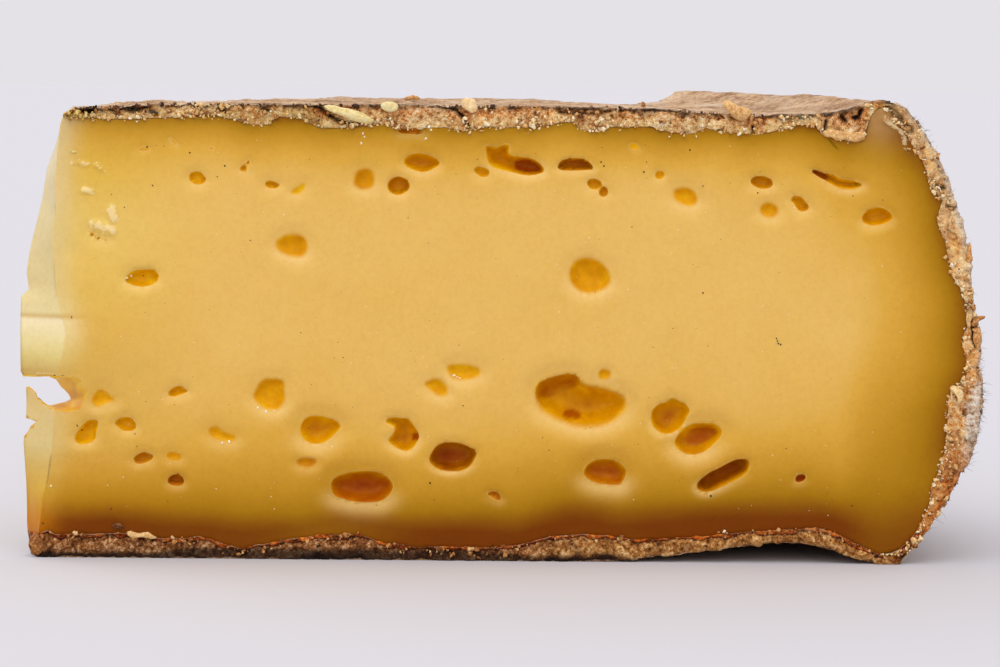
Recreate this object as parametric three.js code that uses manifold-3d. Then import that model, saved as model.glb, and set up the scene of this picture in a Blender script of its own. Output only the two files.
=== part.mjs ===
// A wedge of tomme, a pressed mountain cheese with a thick natural rind.
// The wedge comes from a round wheel. Its point is the middle of the wheel, its broad end is the
// bulging side of the wheel, and its two long sides are fresh cuts through the yellow paste.
// It is one piece of cheese, so it is one solid: the wheel, cut down to the wedge, less the eyes
// that open in the two cuts, with the crumbs of rind that cling to its top edge.
// Lengths are millimetres and +Z is up. While it is made, the wheel's axis stands at x = 0, y = 0,
// the front cut is the plane y = 0 and faces -Y, and the wheel stands on z = 0.

import * as THREE from 'three';
import { ImprovedNoise } from 'three/addons/math/ImprovedNoise.js';
import { mergeVertices } from 'three/addons/utils/BufferGeometryUtils.js';
import Module from 'manifold-3d';

// The wheel that the wedge was cut from
const WHEEL_RADIUS = 105;
const WHEEL_HEIGHT = 49.9;
const BULGE_HEIGHT = 20;
const FOOT_INSET = 8.8;
const SHOULDER_INSET = 9.2;
const SHOULDER_HEIGHT = 50.5;

// Its top has a raised rim, and sinks a little just inside it
const RIM_RADIUS = 93.6;
const RIM_WIDTH = 3.0;
const RIM_RISE = 1.2;
const SINK_RADIUS = 82;
const SINK_WIDTH = 11;
const SINK_DEPTH = 0.75;

// Its base is flat in the middle, arches up, and comes down again on a ring under the heel
const FLAT_RADIUS = 62;
const ARCH_TOP_RADIUS = 86;
const FOOT_RADIUS = 95;
const ARCH_HEIGHT = 2.2;

// How finely the wheel's surface is divided, and how rough its rind is
const SECTORS = 204;
const FLAT_STEPS = 9;
const ARCH_STEPS = 10;
const SIDE_STEPS = 17;
const RIM_STEPS = 6;
const TOP_STEPS = 17;
const RIND_SWELL = 0.45;
const RIND_SWELL_LENGTH = 11;
const RIND_CRAG = 0.85;
const RIND_CRAG_LENGTH = 4.6;
const SCAB_RISE = 0.5;
const SCAB_LENGTH = 7;

// The wedge: two cuts, and a torn facet where the point was pulled from the next wedge
const WEDGE_ANGLE = THREE.MathUtils.degToRad(36.5);
const FACET_DEPTH = 3.0;
const FACET_STEPS = 10;
const BACK_CUT_START = 0.6;
const CUT_REACH = 120;
const CUT_OVERRUN = 5;

// The point of the wedge from the board up: height, where the torn facet ends, where its ridge is
const POINT_SHAPE = [
  { height: -1, edge: 0.8, ridge: 1.6 },
  { height: 3, edge: 0.3, ridge: 1.8 },
  { height: 8, edge: 0.3, ridge: 2.6 },
  { height: 12.5, edge: 0.1, ridge: 3.3 },
  { height: 16.8, edge: 0.3, ridge: 3.6 },
  { height: 20.6, edge: -0.1, ridge: 3.9 },
  { height: 24.5, edge: -0.1, ridge: 4.9 },
  { height: 29.0, edge: 0.0, ridge: 3.9 },
  { height: 29.8, edge: 0.7, ridge: 3.6 },
  { height: 34, edge: 0.8, ridge: 3.4 },
  { height: 39, edge: 1.9, ridge: 3.6 },
  { height: 43, edge: 2.7, ridge: 3.7 },
  { height: 47.5, edge: 3.9, ridge: 4.1 },
  { height: 56, edge: 6.6, ridge: 6.8 },
];

// The gas hole at the point that both cuts opened, so that it goes right through, and a nick below it
const NOTCH = { left: -3, right: 3.9, top: 20.7, bottom: 18.2, lowRight: 5.3, tooth: 1.4 };
const NICK = { depth: 1.5, height: 16, gape: 1.3 };

// How each kind of eye goes in: its depth as a share of its size, how steep its wall is, its soft lip
const DISH = { depth: 0.22, wall: 1.7, lip: 0.25 };
const OPEN = { depth: 0.42, wall: 2.3, lip: 0.45 };
const DEEP = { depth: 0.75, wall: 3.2, lip: 0.35 };
const LIP_DEPTH = 0.3;
const EYE_OVERRUN = 0.15;
const EYE_UNEVENNESS = 0.3;

// The eyes in the front cut: distance from the wheel's axis, height, width, height across, turn in
// degrees, kind. They are pea-size at most, squashed, and crowd towards the top and the bottom.
const FRONT_EYES = [
  [19.1, 41.9, 2.1, 1.4, -10, OPEN],
  [24.3, 43.0, 1.1, 1.0, -40, OPEN],
  [27.4, 41.2, 2.0, 0.9, -8, OPEN],
  [30.1, 40.8, 1.9, 1.2, 20, DISH],
  [37.2, 41.9, 2.2, 2.2, 0, DISH],
  [41.1, 41.2, 2.6, 2.2, 0, DEEP],
  [43.6, 43.7, 4.2, 2.2, -8, OPEN],
  [50.1, 42.8, 1.9, 1.3, -10, OPEN],
  [52.7, 44.1, 3.9, 2.4, -10, OPEN],
  [55.3, 43.5, 3.9, 2.0, -12, DEEP],
  [60.4, 43.7, 4.1, 1.4, -3, DEEP],
  [62.4, 41.6, 1.8, 1.4, -20, OPEN],
  [63.5, 40.8, 1.3, 1.2, 20, OPEN],
  [66.9, 45.6, 1.3, 0.8, -15, DISH],
  [69.6, 42.6, 1.1, 0.9, 0, DISH],
  [72.5, 40.2, 2.8, 1.9, -20, DISH],
  [80.8, 41.9, 2.6, 1.4, -4, OPEN],
  [81.6, 38.9, 2.1, 1.8, -30, DISH],
  [84.8, 39.7, 2.3, 1.3, -35, OPEN],
  [87.7, 42.8, 3.1, 0.9, -25, DEEP],
  [90.0, 42.0, 3.7, 1.1, -8, OPEN],
  [93.4, 38.3, 3.4, 2.0, 3, OPEN],
  [29.4, 34.5, 3.6, 2.3, -3, DISH],
  [13.1, 30.8, 3.9, 1.9, 0, DEEP],
  [61.9, 31.6, 4.7, 3.9, -15, DISH],
  [16.9, 18.5, 2.8, 1.3, 5, DEEP],
  [26.9, 18.1, 3.3, 3.8, 0, DISH],
  [45.4, 19.2, 2.6, 1.9, -20, DISH],
  [48.1, 20.9, 3.7, 1.9, 0, DISH],
  [8.5, 17.6, 2.8, 1.8, 10, DISH],
  [7.0, 14.0, 2.7, 2.2, 40, OPEN],
  [11.3, 14.8, 2.3, 1.6, -5, OPEN],
  [13.2, 10.9, 2.5, 1.3, 5, DEEP],
  [16.6, 11.2, 1.8, 1.1, 0, DISH],
  [16.8, 8.5, 2.1, 1.4, -5, DEEP],
  [21.8, 13.8, 3.1, 1.6, -10, DISH],
  [32.5, 14.3, 4.3, 3.2, 5, OPEN],
  [31.2, 10.8, 2.5, 1.1, 0, DISH],
  [37.2, 8.1, 6.9, 3.5, -3, OPEN],
  [42.0, 14.2, 2.8, 2.8, -30, OPEN],
  [40.8, 15.3, 2.2, 1.0, -20, OPEN],
  [47.3, 11.6, 5.3, 3.3, 3, DEEP],
  [51.7, 7.2, 1.8, 0.9, -20, OPEN],
  [61.1, 17.9, 10.1, 6.1, -3, DISH],
  [58.7, 18.6, 4.8, 3.7, 15, OPEN],
  [60.5, 16.0, 2.2, 1.2, 0, DEEP],
  [63.7, 20.6, 1.6, 1.3, 0, DISH],
  [71.0, 16.3, 4.2, 3.9, 10, OPEN],
  [74.0, 13.8, 5.3, 3.2, 15, OPEN],
  [77.0, 9.7, 6.6, 1.9, 27, DEEP],
  [63.8, 10.0, 4.7, 2.8, -2, OPEN],
  [85.4, 9.4, 1.3, 0.9, 15, DEEP],
];

// The eyes in the back cut are of the same kinds and sizes, scattered by a rule
const BACK_EYES = 26;
const BACK_EYE_SIZE = [1.4, 6.4];
const BACK_EYE_SPAN = [10, 92];
const BACK_EYE_HEIGHTS = [8, 44];
const BACK_EYE_GAP = 1.2;
const BACK_SEED = 41;

// Crumbs and flakes that cling to the rind along the front cut: place, size, turn about Y in degrees
const CRUMBS = [
  { at: [35.7, 0.7, 49.1], size: [5.8, 2.2, 1.5], turn: 12 },
  { at: [42.2, 1.6, 49.6], size: [2.2, 2.6, 1.9], turn: -20 },
  { at: [50.0, 1.4, 49.4], size: [2.4, 3.0, 2.4], turn: 0 },
  { at: [78.4, 1.3, 48.9], size: [4.0, 3.0, 2.4], turn: 8 },
  { at: [89.9, 0.6, 47.2], size: [5.0, 2.2, 1.8], turn: 6 },
];
const CRUMB_UNEVENNESS = 0.45;

const PASTE_COLOUR = 0xd9a441;

const wasm = await Module();
wasm.setup();
const noise = new ImprovedNoise();

function toSolid(geometry) {
  const bare = geometry.clone();
  bare.deleteAttribute('normal');
  bare.deleteAttribute('uv');
  const merged = mergeVertices(bare, 1e-4);
  const vertProperties = new Float32Array(merged.attributes.position.array);
  const triVerts = new Uint32Array(merged.index.array);
  return new wasm.Manifold(new wasm.Mesh({ numProp: 3, vertProperties, triVerts }));
}

function toGeometry(solid) {
  const { vertProperties, triVerts } = solid.getMesh();
  const geometry = new THREE.BufferGeometry();
  geometry.setAttribute('position', new THREE.BufferAttribute(vertProperties, 3));
  geometry.setIndex(new THREE.BufferAttribute(triVerts, 1));
  geometry.computeVertexNormals();
  return geometry;
}

function bump(value, middle, width) {
  return Math.exp(-(((value - middle) / width) ** 2));
}

function noiseAt(point, length, shift = 0) {
  return noise.noise(point.x / length + shift, point.y / length + shift, point.z / length - shift);
}

// Moves every vertex of a geometry by a rule, and makes its vertices one each first
function reshape(geometry, move) {
  const bare = geometry.clone();
  bare.deleteAttribute('normal');
  bare.deleteAttribute('uv');
  const merged = mergeVertices(bare, 1e-4);
  merged.computeVertexNormals();
  const positions = merged.attributes.position;
  const normals = merged.attributes.normal;
  const point = new THREE.Vector3();
  const normal = new THREE.Vector3();
  for (let i = 0; i < positions.count; i += 1) {
    point.fromBufferAttribute(positions, i);
    normal.fromBufferAttribute(normals, i);
    move(point, normal);
    positions.setXYZ(i, point.x, point.y, point.z);
  }
  return merged;
}

function sideRadius(height) {
  if (height < BULGE_HEIGHT) {
    return WHEEL_RADIUS - FOOT_INSET * ((BULGE_HEIGHT - height) / BULGE_HEIGHT) ** 2.1;
  }
  const climb = (height - BULGE_HEIGHT) / (SHOULDER_HEIGHT - BULGE_HEIGHT);
  return WHEEL_RADIUS - SHOULDER_INSET * climb ** 2.5;
}

function topHeight(radius) {
  const rim = RIM_RISE * bump(radius, RIM_RADIUS, RIM_WIDTH);
  return WHEEL_HEIGHT + rim - SINK_DEPTH * bump(radius, SINK_RADIUS, SINK_WIDTH);
}

function baseHeight(radius) {
  const rise = THREE.MathUtils.smoothstep(radius, FLAT_RADIUS, ARCH_TOP_RADIUS);
  const fall = THREE.MathUtils.smoothstep(radius, ARCH_TOP_RADIUS - 1, FOOT_RADIUS);
  return ARCH_HEIGHT * rise * (1 - fall);
}

// The wheel's section, from the axis at the base, out round the heel, and back over the top
function wheelProfile() {
  const points = [];
  const { lerp } = THREE.MathUtils;
  for (let i = 0; i <= FLAT_STEPS; i += 1) {
    points.push(new THREE.Vector2(lerp(0, FLAT_RADIUS, i / FLAT_STEPS), 0));
  }
  for (let i = 1; i <= ARCH_STEPS; i += 1) {
    const radius = lerp(FLAT_RADIUS, FOOT_RADIUS, i / ARCH_STEPS);
    points.push(new THREE.Vector2(radius, baseHeight(radius)));
  }
  for (let i = 0; i <= SIDE_STEPS; i += 1) {
    const height = lerp(0.35, SHOULDER_HEIGHT - 0.4, i / SIDE_STEPS);
    points.push(new THREE.Vector2(sideRadius(height), height));
  }
  for (let i = 1; i <= RIM_STEPS; i += 1) {
    const radius = lerp(sideRadius(SHOULDER_HEIGHT) - 0.4, RIM_RADIUS - 5, i / RIM_STEPS);
    points.push(new THREE.Vector2(radius, topHeight(radius)));
  }
  for (let i = 1; i <= TOP_STEPS; i += 1) {
    const radius = lerp(RIM_RADIUS - 5, 0, i / TOP_STEPS);
    points.push(new THREE.Vector2(radius, topHeight(radius)));
  }
  return points;
}

// The rind is rough everywhere but on the flat that the cheese stands on
function rindRelief(point, normal) {
  const radius = Math.hypot(point.x, point.y);
  const onBase = point.z < 3 && radius < FOOT_RADIUS;
  const worn = onBase ? THREE.MathUtils.smoothstep(radius, FLAT_RADIUS, FLAT_RADIUS + 8) : 1;
  const scab = THREE.MathUtils.smoothstep(noiseAt(point, SCAB_LENGTH, 3.7), 0.12, 0.3);
  const swell = RIND_SWELL * noiseAt(point, RIND_SWELL_LENGTH, 9.1);
  const crag = RIND_CRAG * noiseAt(point, RIND_CRAG_LENGTH, 5.3);
  point.addScaledVector(normal, worn * (swell + crag + SCAB_RISE * (scab - 0.5)));
  point.z = Math.max(point.z, 0);
}

function makeWheel() {
  const geometry = new THREE.LatheGeometry(wheelProfile(), SECTORS);
  geometry.rotateX(Math.PI / 2);
  return toSolid(reshape(geometry, rindRelief));
}

// How far behind the front cut the back cut is, at a distance from the wheel's axis
function backCutDepth(x) {
  return FACET_DEPTH + (x - BACK_CUT_START) * Math.tan(WEDGE_ANGLE);
}

// The block that the two cuts leave of the wheel, from the line where they would meet
function makeWedgeBlock() {
  const meeting = BACK_CUT_START - FACET_DEPTH / Math.tan(WEDGE_ANGLE);
  const outline = [
    [meeting, 0],
    [CUT_REACH, 0],
    [CUT_REACH, backCutDepth(CUT_REACH)],
  ];
  const shape = new THREE.Shape(outline.map(([x, y]) => new THREE.Vector2(x, y)));
  const settings = { depth: SHOULDER_HEIGHT + 2 * CUT_OVERRUN, bevelEnabled: false };
  return toSolid(new THREE.ExtrudeGeometry(shape, settings).translate(0, 0, -CUT_OVERRUN));
}

// What was torn off the point: a block whose right side is the facet, carried on past both cuts
function makeTornPoint() {
  const levels = POINT_SHAPE.length - 1;
  const geometry = new THREE.BoxGeometry(2, 1, levels, 1, FACET_STEPS, levels);
  return toSolid(reshape(geometry, (point) => {
    const { height, edge, ridge } = POINT_SHAPE[Math.round(point.z + levels / 2)];
    const depth = THREE.MathUtils.lerp(-1, 3 * FACET_DEPTH, point.y + 0.5);
    const facet = ridge + (edge - ridge) * (depth / backCutDepth(edge));
    point.set(point.x < 0 ? -2 * CUT_OVERRUN : facet, depth, height);
  }));
}

// An eye is a squashed pit with a wavering outline, a soft lip and a round floor. It is a turned
// shape whose axis goes into the cheese along +Y, and its mouth lies on the cut, y = 0.
function makeEye(width, height, turn, kind, seed) {
  const size = Math.sqrt(width * height);
  const depth = kind.depth * size;
  const segments = Math.round(THREE.MathUtils.clamp(5.5 + 2 * size, 8, 18));
  const steps = size > 1.8 ? 3 : 2;
  const mouth = 1 + (2 * kind.lip) / size;
  const profile = [new THREE.Vector2(0, -EYE_OVERRUN)];
  profile.push(new THREE.Vector2(mouth * 1.05, -EYE_OVERRUN));
  for (let i = 0; i <= steps; i += 1) {
    const slope = (i / steps) * (Math.PI / 2);
    const across = Math.cos(slope) ** (2 / kind.wall);
    const down = Math.sin(slope) ** (2 / kind.wall);
    profile.push(new THREE.Vector2(i === steps ? 0 : across, LIP_DEPTH + depth * down));
  }
  const geometry = new THREE.LatheGeometry(profile, segments);
  const uneven = reshape(geometry, (point) => {
    const angle = Math.atan2(point.z, point.x);
    const waver = noise.noise(1.2 * Math.cos(angle) + seed, 1.2 * Math.sin(angle), seed * 0.37);
    const stretch = 1 + EYE_UNEVENNESS * waver * 1.6;
    point.x *= (width / 2) * stretch;
    point.z *= (height / 2) * stretch;
    point.y += point.y > LIP_DEPTH ? 0.2 * depth * noiseAt(point, 1.5, seed) : 0;
  });
  return uneven.rotateY(-THREE.MathUtils.degToRad(turn));
}

function makeFrontEyes() {
  return FRONT_EYES.map(([along, up, width, height, turn, kind], i) => {
    const eye = makeEye(width, height, turn, kind, i + 0.5);
    return toSolid(eye.translate(along, 0, up));
  });
}

// A number from 0 to 1 for a place in the sequence, the same on every run
function drawNumber(index) {
  return THREE.MathUtils.seededRandom(BACK_SEED + index * 7919);
}

function scatterBackEyes() {
  const eyes = [];
  const { lerp } = THREE.MathUtils;
  for (let tries = 0; eyes.length < BACK_EYES && tries < 900; tries += 1) {
    const pick = (k) => drawNumber(tries * 6 + k);
    const width = lerp(BACK_EYE_SIZE[0], BACK_EYE_SIZE[1], pick(0) ** 2.2);
    const height = width * lerp(0.4, 0.85, pick(1));
    const along = lerp(BACK_EYE_SPAN[0], BACK_EYE_SPAN[1], Math.sqrt(pick(2)));
    const up = lerp(BACK_EYE_HEIGHTS[0], BACK_EYE_HEIGHTS[1], pick(3));
    const clear = eyes.every((eye) => {
      const gap = Math.hypot(eye.along - along, eye.up - up) - (eye.width + width) / 2;
      return gap > BACK_EYE_GAP;
    });
    if (clear) {
      const kind = [DISH, OPEN, DEEP][Math.floor(pick(4) * 3)];
      eyes.push({ along, up, width, height, turn: lerp(-30, 30, pick(5)), kind });
    }
  }
  return eyes;
}

// The back cut leaves the torn point at an angle. Seen from outside, its eyes go in towards the front.
function makeBackEyes() {
  const place = new THREE.Matrix4().makeRotationZ(WEDGE_ANGLE);
  place.setPosition(new THREE.Vector3(BACK_CUT_START, FACET_DEPTH, 0));
  return scatterBackEyes().map(({ along, up, width, height, turn, kind }, i) => {
    const eye = makeEye(width, height, turn, kind, i + 100.5);
    return toSolid(eye.rotateZ(Math.PI).translate(along, 0, up).applyMatrix4(place));
  });
}

// A cut of the given outline that runs through the point from front to back
function throughCut(outline) {
  const shape = new THREE.Shape(outline.map(([x, z]) => new THREE.Vector2(x, z)));
  const geometry = new THREE.ExtrudeGeometry(shape, { depth: 16, bevelEnabled: false });
  return toSolid(geometry.rotateX(Math.PI / 2).translate(0, 11, 0));
}

function makeNotch() {
  const { left, right, top, bottom, lowRight, tooth } = NOTCH;
  return throughCut([
    [left, top],
    [left, bottom],
    [tooth - 0.6, bottom],
    [tooth, bottom + 0.7],
    [tooth + 0.6, bottom - 0.1],
    [lowRight - 1.4, bottom - 0.2],
    [lowRight, bottom + 0.3],
    [right, top],
  ]);
}

function makeNick() {
  const { depth, height, gape } = NICK;
  return throughCut([
    [NOTCH.left, height + gape],
    [NOTCH.left, height - gape],
    [depth, height],
  ]);
}

function makeCrumb({ at, size, turn }, seed) {
  const geometry = new THREE.IcosahedronGeometry(1, 1);
  const rough = reshape(geometry, (point) => {
    point.multiplyScalar(1 + CRUMB_UNEVENNESS * noiseAt(point, 0.7, seed * 2.3));
  });
  rough.scale(size[0] / 2, size[1] / 2, size[2] / 2);
  rough.rotateY(THREE.MathUtils.degToRad(turn));
  return toSolid(rough.translate(...at));
}

function makeTomme() {
  const join = (all, one) => all.add(one);
  const wedge = makeWheel().intersect(makeWedgeBlock());
  const crumbs = CRUMBS.map((crumb, i) => makeCrumb(crumb, i + 1));
  const eyes = [...makeFrontEyes(), ...makeBackEyes()];
  const gaps = [makeTornPoint(), makeNotch(), makeNick(), ...eyes].reduce(join);
  const geometry = toGeometry(crumbs.reduce(join, wedge).subtract(gaps));
  geometry.computeBoundingBox();
  const { min, max } = geometry.boundingBox;
  geometry.translate(-(min.x + max.x) / 2, -(min.y + max.y) / 2, -min.z);
  const paste = new THREE.MeshStandardMaterial({ color: PASTE_COLOUR, roughness: 0.5, metalness: 0 });
  const mesh = new THREE.Mesh(geometry, paste);
  mesh.name = 'tomme_wedge';
  return mesh;
}

const tomme = new THREE.Group();
tomme.add(makeTomme());

export default tomme;
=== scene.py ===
# %% [markdown]
# # A wedge of mountain tomme
# This lesson builds one wedge of a pressed cheese with a thick natural rind, seen from its front
# cut. The paste is waxy and pale, full of small squashed eyes, and darkens towards the rind. The
# rind is a crumbly band of cream, tan and brown, furred with grey mould outside.

# %% Load the frame
import math
from functools import partial

import bmesh
import bpy
import numpy as np
from mathutils import Matrix, Vector


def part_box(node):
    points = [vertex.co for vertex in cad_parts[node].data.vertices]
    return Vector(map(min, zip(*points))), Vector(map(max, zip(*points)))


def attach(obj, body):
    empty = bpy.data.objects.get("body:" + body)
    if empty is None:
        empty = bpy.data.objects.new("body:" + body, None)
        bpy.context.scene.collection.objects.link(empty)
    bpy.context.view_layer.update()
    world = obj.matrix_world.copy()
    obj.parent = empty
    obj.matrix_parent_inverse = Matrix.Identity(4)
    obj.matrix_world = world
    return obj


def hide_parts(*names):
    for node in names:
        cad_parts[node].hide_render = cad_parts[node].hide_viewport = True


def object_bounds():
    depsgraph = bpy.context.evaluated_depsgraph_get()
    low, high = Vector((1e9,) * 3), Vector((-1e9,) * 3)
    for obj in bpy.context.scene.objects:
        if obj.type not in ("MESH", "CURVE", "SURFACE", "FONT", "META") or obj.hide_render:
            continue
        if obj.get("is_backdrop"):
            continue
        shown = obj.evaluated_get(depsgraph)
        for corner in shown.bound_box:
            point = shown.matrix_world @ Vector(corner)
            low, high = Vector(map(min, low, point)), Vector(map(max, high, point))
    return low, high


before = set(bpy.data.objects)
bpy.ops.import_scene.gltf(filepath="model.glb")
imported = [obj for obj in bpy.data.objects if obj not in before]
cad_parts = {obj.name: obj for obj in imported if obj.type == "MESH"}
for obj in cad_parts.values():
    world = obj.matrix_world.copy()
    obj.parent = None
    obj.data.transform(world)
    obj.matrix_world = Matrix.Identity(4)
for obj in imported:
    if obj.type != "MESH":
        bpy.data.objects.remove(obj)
start_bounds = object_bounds()
box_low, box_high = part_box("tomme_wedge")
# The wheel's axis at its base, from the CAD box's low corner, in mm
AXIS_FROM_CORNER = (0.1, 0.73, 0.0)
SHIFT = np.array(box_low) * 1000 + AXIS_FROM_CORNER
print("the CAD box in mm:", [round(v * 1000, 2) for v in (*box_low, *box_high)])

# %% [markdown]
# ## The form of the wheel
# A wheel of cheese is a turned shape, so three small curves describe it: how far out its side is
# at each height, how high its top is at each radius, and how its base arches. They are the same
# curves as in the CAD part. Everything is made in millimetres with the wheel's axis at x = 0,
# y = 0 and the front cut in the plane y = 0, and is moved to the frame at the very end.

# %% The wheel's curves
WHEEL_RADIUS = 105.0
WHEEL_HEIGHT = 49.9
BULGE_HEIGHT = 20.0
WEDGE_ANGLE = math.radians(36.5)
TORN_DEPTH = 3.0
BACK_CUT_START = 0.6
# The back cut passes beside the axis: how far from it, squared, and how far along the cut that
# place is. Close to the point, up to this radius, its places are spread evenly
MISS_SQUARED = 4.22
NEAREST_ALONG = 2.267
STRAIGHT_TO = 10.0

print("the front cut is", WHEEL_RADIUS, "mm long and", WHEEL_HEIGHT, "mm high")

# %% The torn point and the waves of the skin
# The torn point from the base up: height, where the facet ends behind, where its ridge is
POINT_SHAPE = np.array([
    (-1, 0.7, 1.6), (3, 0.2, 1.8), (8, 0.1, 2.6), (12.5, -0.2, 3.3), (14.2, 0.0, 3.4),
    (16.8, 0.1, 3.6), (19.3, 0.0, 3.8), (20.3, -0.5, 3.9), (24.5, -0.55, 4.9), (28.6, -0.45, 3.9),
    (29.4, 0.35, 3.6), (31.2, 0.1, 3.5), (34, 0.5, 3.4),
    (39, 1.65, 3.6), (43, 2.4, 3.7), (47.5, 3.7, 4.1), (56, 6.4, 6.8),
])
# The skin isn't smooth: height, and how far it stands out from the curve there, in mm
SKIN_WAVES = np.array([
    (4, 0.1), (8, 0.1), (12, 0.3), (18, 0.35), (20.5, 0.1), (22, -0.3), (24, 0.0), (26, 0.0),
    (28, -0.45), (31, -0.55), (33.5, -0.3), (38, -0.15), (40, -0.4), (42, -0.05), (44.5, 0.15),
    (46, 0.45), (50, 0.5),
])
print("the torn facet is up to", POINT_SHAPE[:-1, 2].max(), "mm deep")

# %% Curves as functions
# Rises smoothly from 0 at the start to 1 at the end
def smoothstep(value, start, end):
    t = np.clip((value - start) / (end - start), 0, 1)
    return t * t * (3 - 2 * t)


# A soft hill, 1 high in its middle
def bump(value, middle, width):
    return np.exp(-(((value - middle) / width) ** 2))


# The side draws in by 8.8 mm below the bulge and by 9.2 mm above it
def side_curve(z):
    low = np.clip((BULGE_HEIGHT - z) / BULGE_HEIGHT, 0, None)
    high = np.clip((z - BULGE_HEIGHT) / 30.5, 0, None)
    return WHEEL_RADIUS - 8.8 * low ** 2.1 - 9.2 * high ** 2.5


def side_radius(z):
    return side_curve(z) + np.interp(z, SKIN_WAVES[:, 0], SKIN_WAVES[:, 1])


# The top has a raised rim and a sunken ring inside it, and it sags over the torn point
def top_height(r):
    rim = 1.2 * bump(r, 93.6, 3.0)
    ring = 0.75 * bump(r, 82, 11)
    point = 1.2 * bump(r, 3.5, 2.2)
    beside_point = 0.42 * bump(r, 8.8, 4)
    return WHEEL_HEIGHT + rim - ring - point - beside_point


# A shallow arch under the base, where the cheese doesn't touch the floor
def base_height(r):
    return 2.2 * smoothstep(r, 62, 86) * (1 - smoothstep(r, 85, 95))


def ridge_at(z):
    return np.interp(z, POINT_SHAPE[:, 0], POINT_SHAPE[:, 2])


def edge_at(z):
    return np.interp(z, POINT_SHAPE[:, 0], POINT_SHAPE[:, 1])


print("the rim stands", round(float(top_height(93.6) - top_height(82.0)), 2), "mm above the ring")

# %% From the front cut to the back cut
# A point (x, z) of the front cut swept back by k, from 0 on the front cut to 1 on the back cut
def swept(x, z, k):
    cosine, sine = math.cos(WEDGE_ANGLE), math.sin(WEDGE_ANGLE)
    far = np.sqrt(np.clip(x * x - MISS_SQUARED, 0, None)) - NEAREST_ALONG
    start = (edge_at(z) - BACK_CUT_START) / cosine
    ridge = ridge_at(z)
    straight_end = math.sqrt(STRAIGHT_TO ** 2 - MISS_SQUARED) - NEAREST_ALONG
    near = start + (x - ridge) / (STRAIGHT_TO - ridge) * (straight_end - start)
    along = np.where(x < STRAIGHT_TO, near, far)
    bx, by = BACK_CUT_START + along * cosine, TORN_DEPTH + along * sine
    straight = np.stack([x + (bx - x) * k, by * k + 0 * x, z + 0 * x], -1)
    radius = x + (np.hypot(bx, by) - x) * k
    angle = np.arctan2(by, bx) * k
    turned = np.stack([radius * np.cos(angle), radius * np.sin(angle), z + 0 * x], -1)
    share = smoothstep(x, 6, 25)[..., None]
    return straight * (1 - share) + turned * share


far_end = swept(np.array([100.0]), np.array([20.0]), 1)[0]
print("100 mm from the axis, the back cut is at", np.round(far_end, 1), "mm")

# %% [markdown]
# ## Reading places off the photograph
# The rind's inner side and the eyes were traced on the photograph, a picture of 1000 by
# 667 pixels. The camera stands 450 mm before the cut and a little above the cheese, so a traced
# pixel is turned to millimetres on the cut by sending a ray from the camera through it.

# %% The camera, and from pixels to millimetres
PHOTO_SIZE = (1000, 667)
CAMERA_DISTANCE = 450.0
CAMERA_HEIGHT = 59.5
CAMERA_ASIDE = 52.3
LOOK_HEIGHT = 25.1
ROLL = math.radians(0.5)
MM_PER_PIXEL = 0.1095
TILT = math.atan2(CAMERA_HEIGHT - LOOK_HEIGHT, CAMERA_DISTANCE)
FOCAL_PIXELS = math.hypot(CAMERA_DISTANCE, CAMERA_HEIGHT - LOOK_HEIGHT) / MM_PER_PIXEL


def on_cut(pixels):
    pixels = np.asarray(pixels, float)
    across = pixels[..., 0] - PHOTO_SIZE[0] / 2
    up = PHOTO_SIZE[1] / 2 - pixels[..., 1]
    turned = across * math.cos(ROLL) - up * math.sin(ROLL)
    raised = across * math.sin(ROLL) + up * math.cos(ROLL)
    forward = FOCAL_PIXELS * math.cos(TILT) + raised * math.sin(TILT)
    climb = -FOCAL_PIXELS * math.sin(TILT) + raised * math.cos(TILT)
    reach = CAMERA_DISTANCE / forward
    return np.stack([CAMERA_ASIDE + turned * reach, CAMERA_HEIGHT + climb * reach], -1)


print("the photo's middle falls on the cut at", np.round(on_cut((500, 333.5)), 1), "mm")

# %% [markdown]
# ## Noise
# Cheese is uneven everywhere. Two kinds of seeded noise make that: a smooth one that swells and
# sinks, and a cellular one whose cells are crumbs with a crack between each two. Both read a
# point in millimetres, so each pattern has a real size.

# %% Noise helpers
# A number from 0 to 1 for each cell of a grid, always the same one for the same seed
def hashed(ix, iy, iz, seed):
    h = (ix * 73856093) ^ (iy * 19349663) ^ (iz * 83492791) ^ (seed * 26544357)
    h = ((h & 0xffffffff) ^ ((h & 0xffffffff) >> 13)) * 1274126177 & 0xffffffff
    h = (h ^ (h >> 15)) * 739982445 & 0xffffffff
    return (h ^ (h >> 16)) / 0xffffffff


# Smooth noise from -1 to 1, with swells about as long as the length in mm
def noise(points, length, seed=0):
    scaled = np.asarray(points) / length
    cell = np.floor(scaled).astype(np.int64)
    part = scaled - cell
    part = part * part * (3 - 2 * part)
    total = 0
    for corner in np.ndindex(2, 2, 2):
        weight = np.prod([part[..., a] if corner[a] else 1 - part[..., a] for a in range(3)], axis=0)
        total = total + weight * hashed(*[cell[..., a] + corner[a] for a in range(3)], seed)
    return 2 * total - 1


# Smooth noise with finer and finer layers on it
def rough_noise(points, length, seed=0, layers=3):
    return sum(noise(points, length / 2 ** i, seed + i) / 2 ** i for i in range(layers)) / 1.75


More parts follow.
